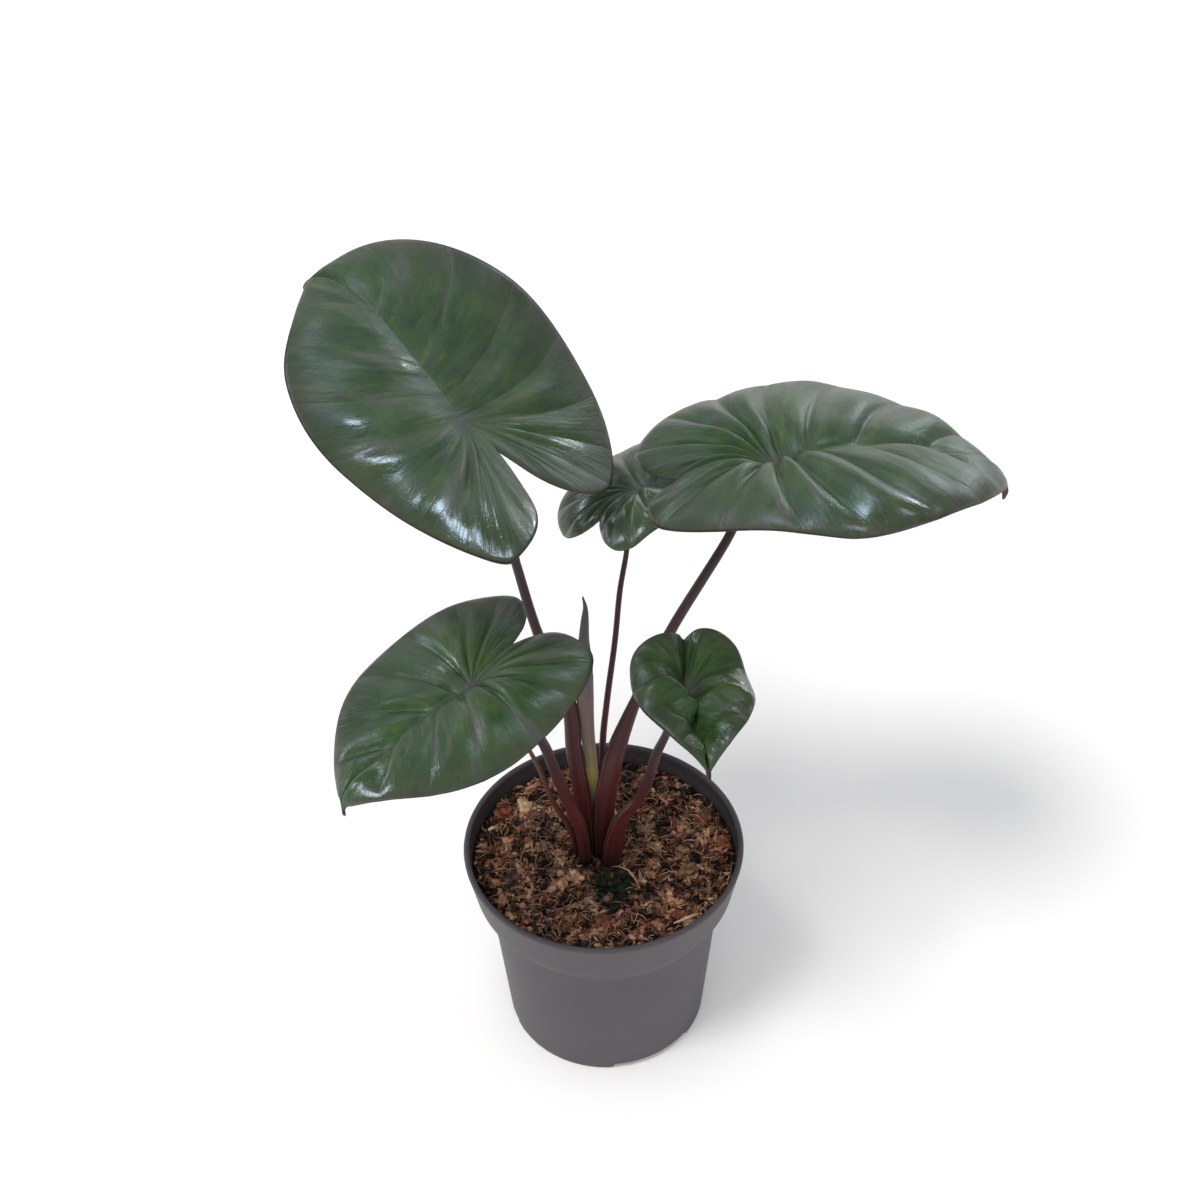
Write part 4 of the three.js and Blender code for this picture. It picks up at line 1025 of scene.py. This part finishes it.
add_bits(soil_work, CRUMBS, loose_crumb)
soil_finish = Finish("coir_and_bark", Roughness=0.85, Specular_IOR_Level=0.3)
tone, second, _ = soil_finish.split(soil_finish.map("tone"))
place = soil_finish.object_place()
grain = soil_finish.noise(place, 650.0, 4.0, 0.65)
patch = soil_finish.noise(place, 60.0, 3.0)
shade = (tone + (grain - 0.5) * 0.35 + (patch - 0.5) * 0.3).held()
brown = soil_finish.ramp(shade, [
    (0.08, (0.009, 0.007, 0.006)), (0.32, (0.040, 0.021, 0.013)), (0.50, (0.160, 0.080, 0.045)),
    (0.68, (0.360, 0.200, 0.125)), (0.95, (0.700, 0.500, 0.370))])
hue = soil_finish.ramp(second, [
    (0.08, (1.0, 0.62, 0.58)), (0.35, (1.0, 0.88, 0.78)), (0.62, (0.90, 0.97, 0.74)),
    (0.92, (0.84, 0.78, 0.86))])
brown = soil_finish.mix(1.0, brown, hue, "MULTIPLY")
dark_green_share = ((second - 1.2) * 5).held()
brown = soil_finish.mix(dark_green_share * 0.8, brown, (0.014, 0.034, 0.017))
soil_finish.set("Base Color", brown)
soil_finish.set("Roughness", 0.72 + grain * 0.25)
soil_finish.bump(grain, 0.7, 0.0006)
soil = object_from(soil_work, "coir_soil", [soil_finish], smooth=False)
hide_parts("soil")
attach(soil, "root")

# Larger lumps and bark chips
# Flat chips of bark and a few lumps of coir that come with the mix. They lie half sunk in the top of the
# soil, mostly near the edge. Each listed lump has its place, size, tone and hue.
LUMPS = [
    (-43, 25, 4.4, 0.44, 0.02), (-34, 29, 4.2, 0.80, 0.50), (-27, 5, 3.2, 0.62, 0.85),
    (-39, -13, 4.4, 0.36, 0.90), (-18, -17, 3.0, 0.78, 0.30), (-1, -38, 4.0, 0.50, 0.05),
    (22, -41, 3.8, 0.62, 0.25), (36, -10, 4.6, 0.55, 0.75), (45, 19, 4.2, 0.45, 0.05),
    (51, 6, 3.0, 0.62, 0.10), (-13, -29, 2.6, 0.66, 0.60)]
SMALL_LUMPS = 26


def rough_lump(work, layer, centre, size, tone, hue, flatness, number):
    made = bmesh.ops.create_icosphere(work, subdivisions=4, radius=1.0)
    spin = Matrix.Rotation(number * 1.9, 3, "Z") @ Matrix.Rotation(0.35 * math.sin(number * 2.3), 3, "X")
    for vert in made["verts"]:
        direction = vert.co.normalized()
        coarse = noise.noise(direction * 1.6 + Vector((number, 0, 0)))
        fine_grit = noise.noise(direction * 6 + Vector((0, number, 0)))
        grown = direction * (1 + 0.45 * coarse + 0.24 * fine_grit)
        sized = Vector((grown.x * size, grown.y * size * 0.75, grown.z * size * flatness))
        vert.co = (spin @ sized + centre) * MM
        for loop in vert.link_loops:
            loop[layer].uv = (tone + 0.25 * coarse, hue)


lump_work = bmesh.new()
lump_layer = lump_work.loops.layers.uv.new("tone")
for number, (px, py, size, lump_tone, lump_hue) in enumerate(LUMPS):
    centre = Vector((px, py, soil_height(px, py) + 0.5))
    rough_lump(lump_work, lump_layer, centre, size, lump_tone, lump_hue, 0.55, number)
for number in range(SMALL_LUMPS):
    size = chance.uniform(1.4, 2.6)
    px, py = scattered(19, soil_edge - size - 1)
    centre = Vector((px, py, soil_height(px, py) + 0.1))
    lump_tone, lump_hue = chance.uniform(0.25, 0.65), chance.random()
    rough_lump(lump_work, lump_layer, centre, size, lump_tone, lump_hue, 0.5, number + 20)
lumps = object_from(lump_work, "soil_lumps", [soil_finish])
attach(lumps, "root")

# Coir fibres and the pale root
# Loose hair-like fibres of coir curl out of the mix. One pale new root shows in front of the crown, and a
# short pale stick lies on the soil near the front edge.
FIBRES = 1500
PALE_ROOT = [(2.5, -8.5, 94.4), (6.5, -9.5, 95.8), (10.5, -12, 95.8), (13, -15.5, 94.8), (15, -19.5, 93)]
ROOT_RADIUS = 0.42
STICK = ((28.5, -40.5), (39, -36.5))
STICK_Z = 94.6
STICK_RADIUS = 0.85
STRAND_CORNERS = (0, 2.094, 4.189)


def strand(work, points, radius):
    """A thin three-sided strand through a few points."""
    rings = []
    for index, point in enumerate(points):
        ahead_point = points[min(index + 1, len(points) - 1)]
        behind_point = points[max(index - 1, 0)]
        along = (ahead_point - behind_point).normalized()
        side_way = along.cross(Vector((0.2, 0.1, 1))).normalized()
        up_way = side_way.cross(along)
        slim = radius * (1 - 0.6 * abs(2 * index / (len(points) - 1) - 1))
        ring = [work.verts.new((point + (side_way * math.cos(a) + up_way * math.sin(a)) * slim) * MM)
                for a in STRAND_CORNERS]
        rings.append([work.edges.new((ring[k], ring[(k + 1) % 3])) for k in range(3)])
    for lower, upper in zip(rings, rings[1:]):
        bmesh.ops.bridge_loops(work, edges=[*lower, *upper])
    for end in (rings[0], rings[-1]):
        bmesh.ops.contextual_create(work, geom=end)


def loose_fibre(batch, layer, number):
    px, py = scattered(11, soil_edge - 4)
    if from_dark_patch(px, py) < 1.1:
        return
    bearing = chance.uniform(0, 2 * math.pi)
    length = chance.uniform(2, 8)
    bend = chance.uniform(-1.6, 1.6)
    height = soil_height(px, py) + chance.uniform(0.3, 1.0)
    hump = chance.uniform(0.1, 1.3)
    points = []
    for step in range(6):
        share = step / 5
        angle = bearing + bend * share
        px += math.cos(angle) * length / 5
        py += math.sin(angle) * length / 5
        reach = math.hypot(px, py)
        if reach > soil_edge - 1:
            px, py = px * (soil_edge - 1) / reach, py * (soil_edge - 1) / reach
        points.append(Vector((px, py, max(height, soil_height(px, py)) + hump * math.sin(math.pi * share))))
    before = len(batch.faces)
    strand(batch, points, chance.uniform(0.10, 0.24))
    batch.faces.ensure_lookup_table()
    tone = chance.uniform(0.45, 1.0)
    for face_index in range(before, len(batch.faces)):
        for loop in batch.faces[face_index].loops:
            loop[layer].uv = (tone, 0.3)


fibre_work = bmesh.new()
fibre_work.loops.layers.uv.new("tone")
add_bits(fibre_work, FIBRES, loose_fibre)
stick_from, stick_to = (Vector(end) for end in STICK)
stick_points = [Vector((*stick_from.lerp(stick_to, step / 4), STICK_Z + 0.3 * step)) for step in range(5)]
root_batch = bmesh.new()
root_layer = root_batch.loops.layers.uv.new("tone")
strand(root_batch, [Vector(place) for place in PALE_ROOT], ROOT_RADIUS)
strand(root_batch, stick_points, STICK_RADIUS)
for root_face in root_batch.faces:
    for loop in root_face.loops:
        loop[root_layer].uv = (1.1, 0.3)
root_holder = bpy.data.meshes.new("root_strand")
root_batch.to_mesh(root_holder)
root_batch.free()
fibre_work.from_mesh(root_holder)
bpy.data.meshes.remove(root_holder)
fibres = object_from(fibre_work, "coir_fibres", [soil_finish])
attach(fibres, "root")

# Corm
# The short buried stem under all the stalks: a dark fibrous knob whose top is level with the soil. It is
# living wood, and every stalk grows out of its top.
CORM_RADIUS = 10.4
CORM_BOTTOM_Z = 70
CORM_TOP_Z = 93.4
corm_work = turned([
    (0, CORM_BOTTOM_Z), (5, CORM_BOTTOM_Z + 1), (8.6, CORM_BOTTOM_Z + 6),
    (CORM_RADIUS - 0.5, CORM_BOTTOM_Z + 14), (CORM_RADIUS - 0.3, CORM_TOP_Z - 4),
    (CORM_RADIUS - 0.3, CORM_TOP_Z - 2), (CORM_RADIUS - 0.9, CORM_TOP_Z - 0.5),
    (CORM_RADIUS - 2, CORM_TOP_Z), (5, CORM_TOP_Z), (0, CORM_TOP_Z)], 48)
bmesh.ops.translate(corm_work, verts=corm_work.verts, vec=(CORM_CENTRE[0] * MM, CORM_CENTRE[1] * MM, 0))
corm_finish = Finish("corm_skin", Roughness=0.85)
grain = corm_finish.noise(corm_finish.object_place(), 500.0, 4.0)
bark = corm_finish.ramp(grain, [(0.3, (0.012, 0.007, 0.005)), (0.7, (0.06, 0.032, 0.018))])
corm_finish.set("Base Color", bark)
corm_finish.bump(grain, 0.8, 0.0008)
corm = object_from(corm_work, "corm_knob", [corm_finish])
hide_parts("corm")
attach(corm, "root")
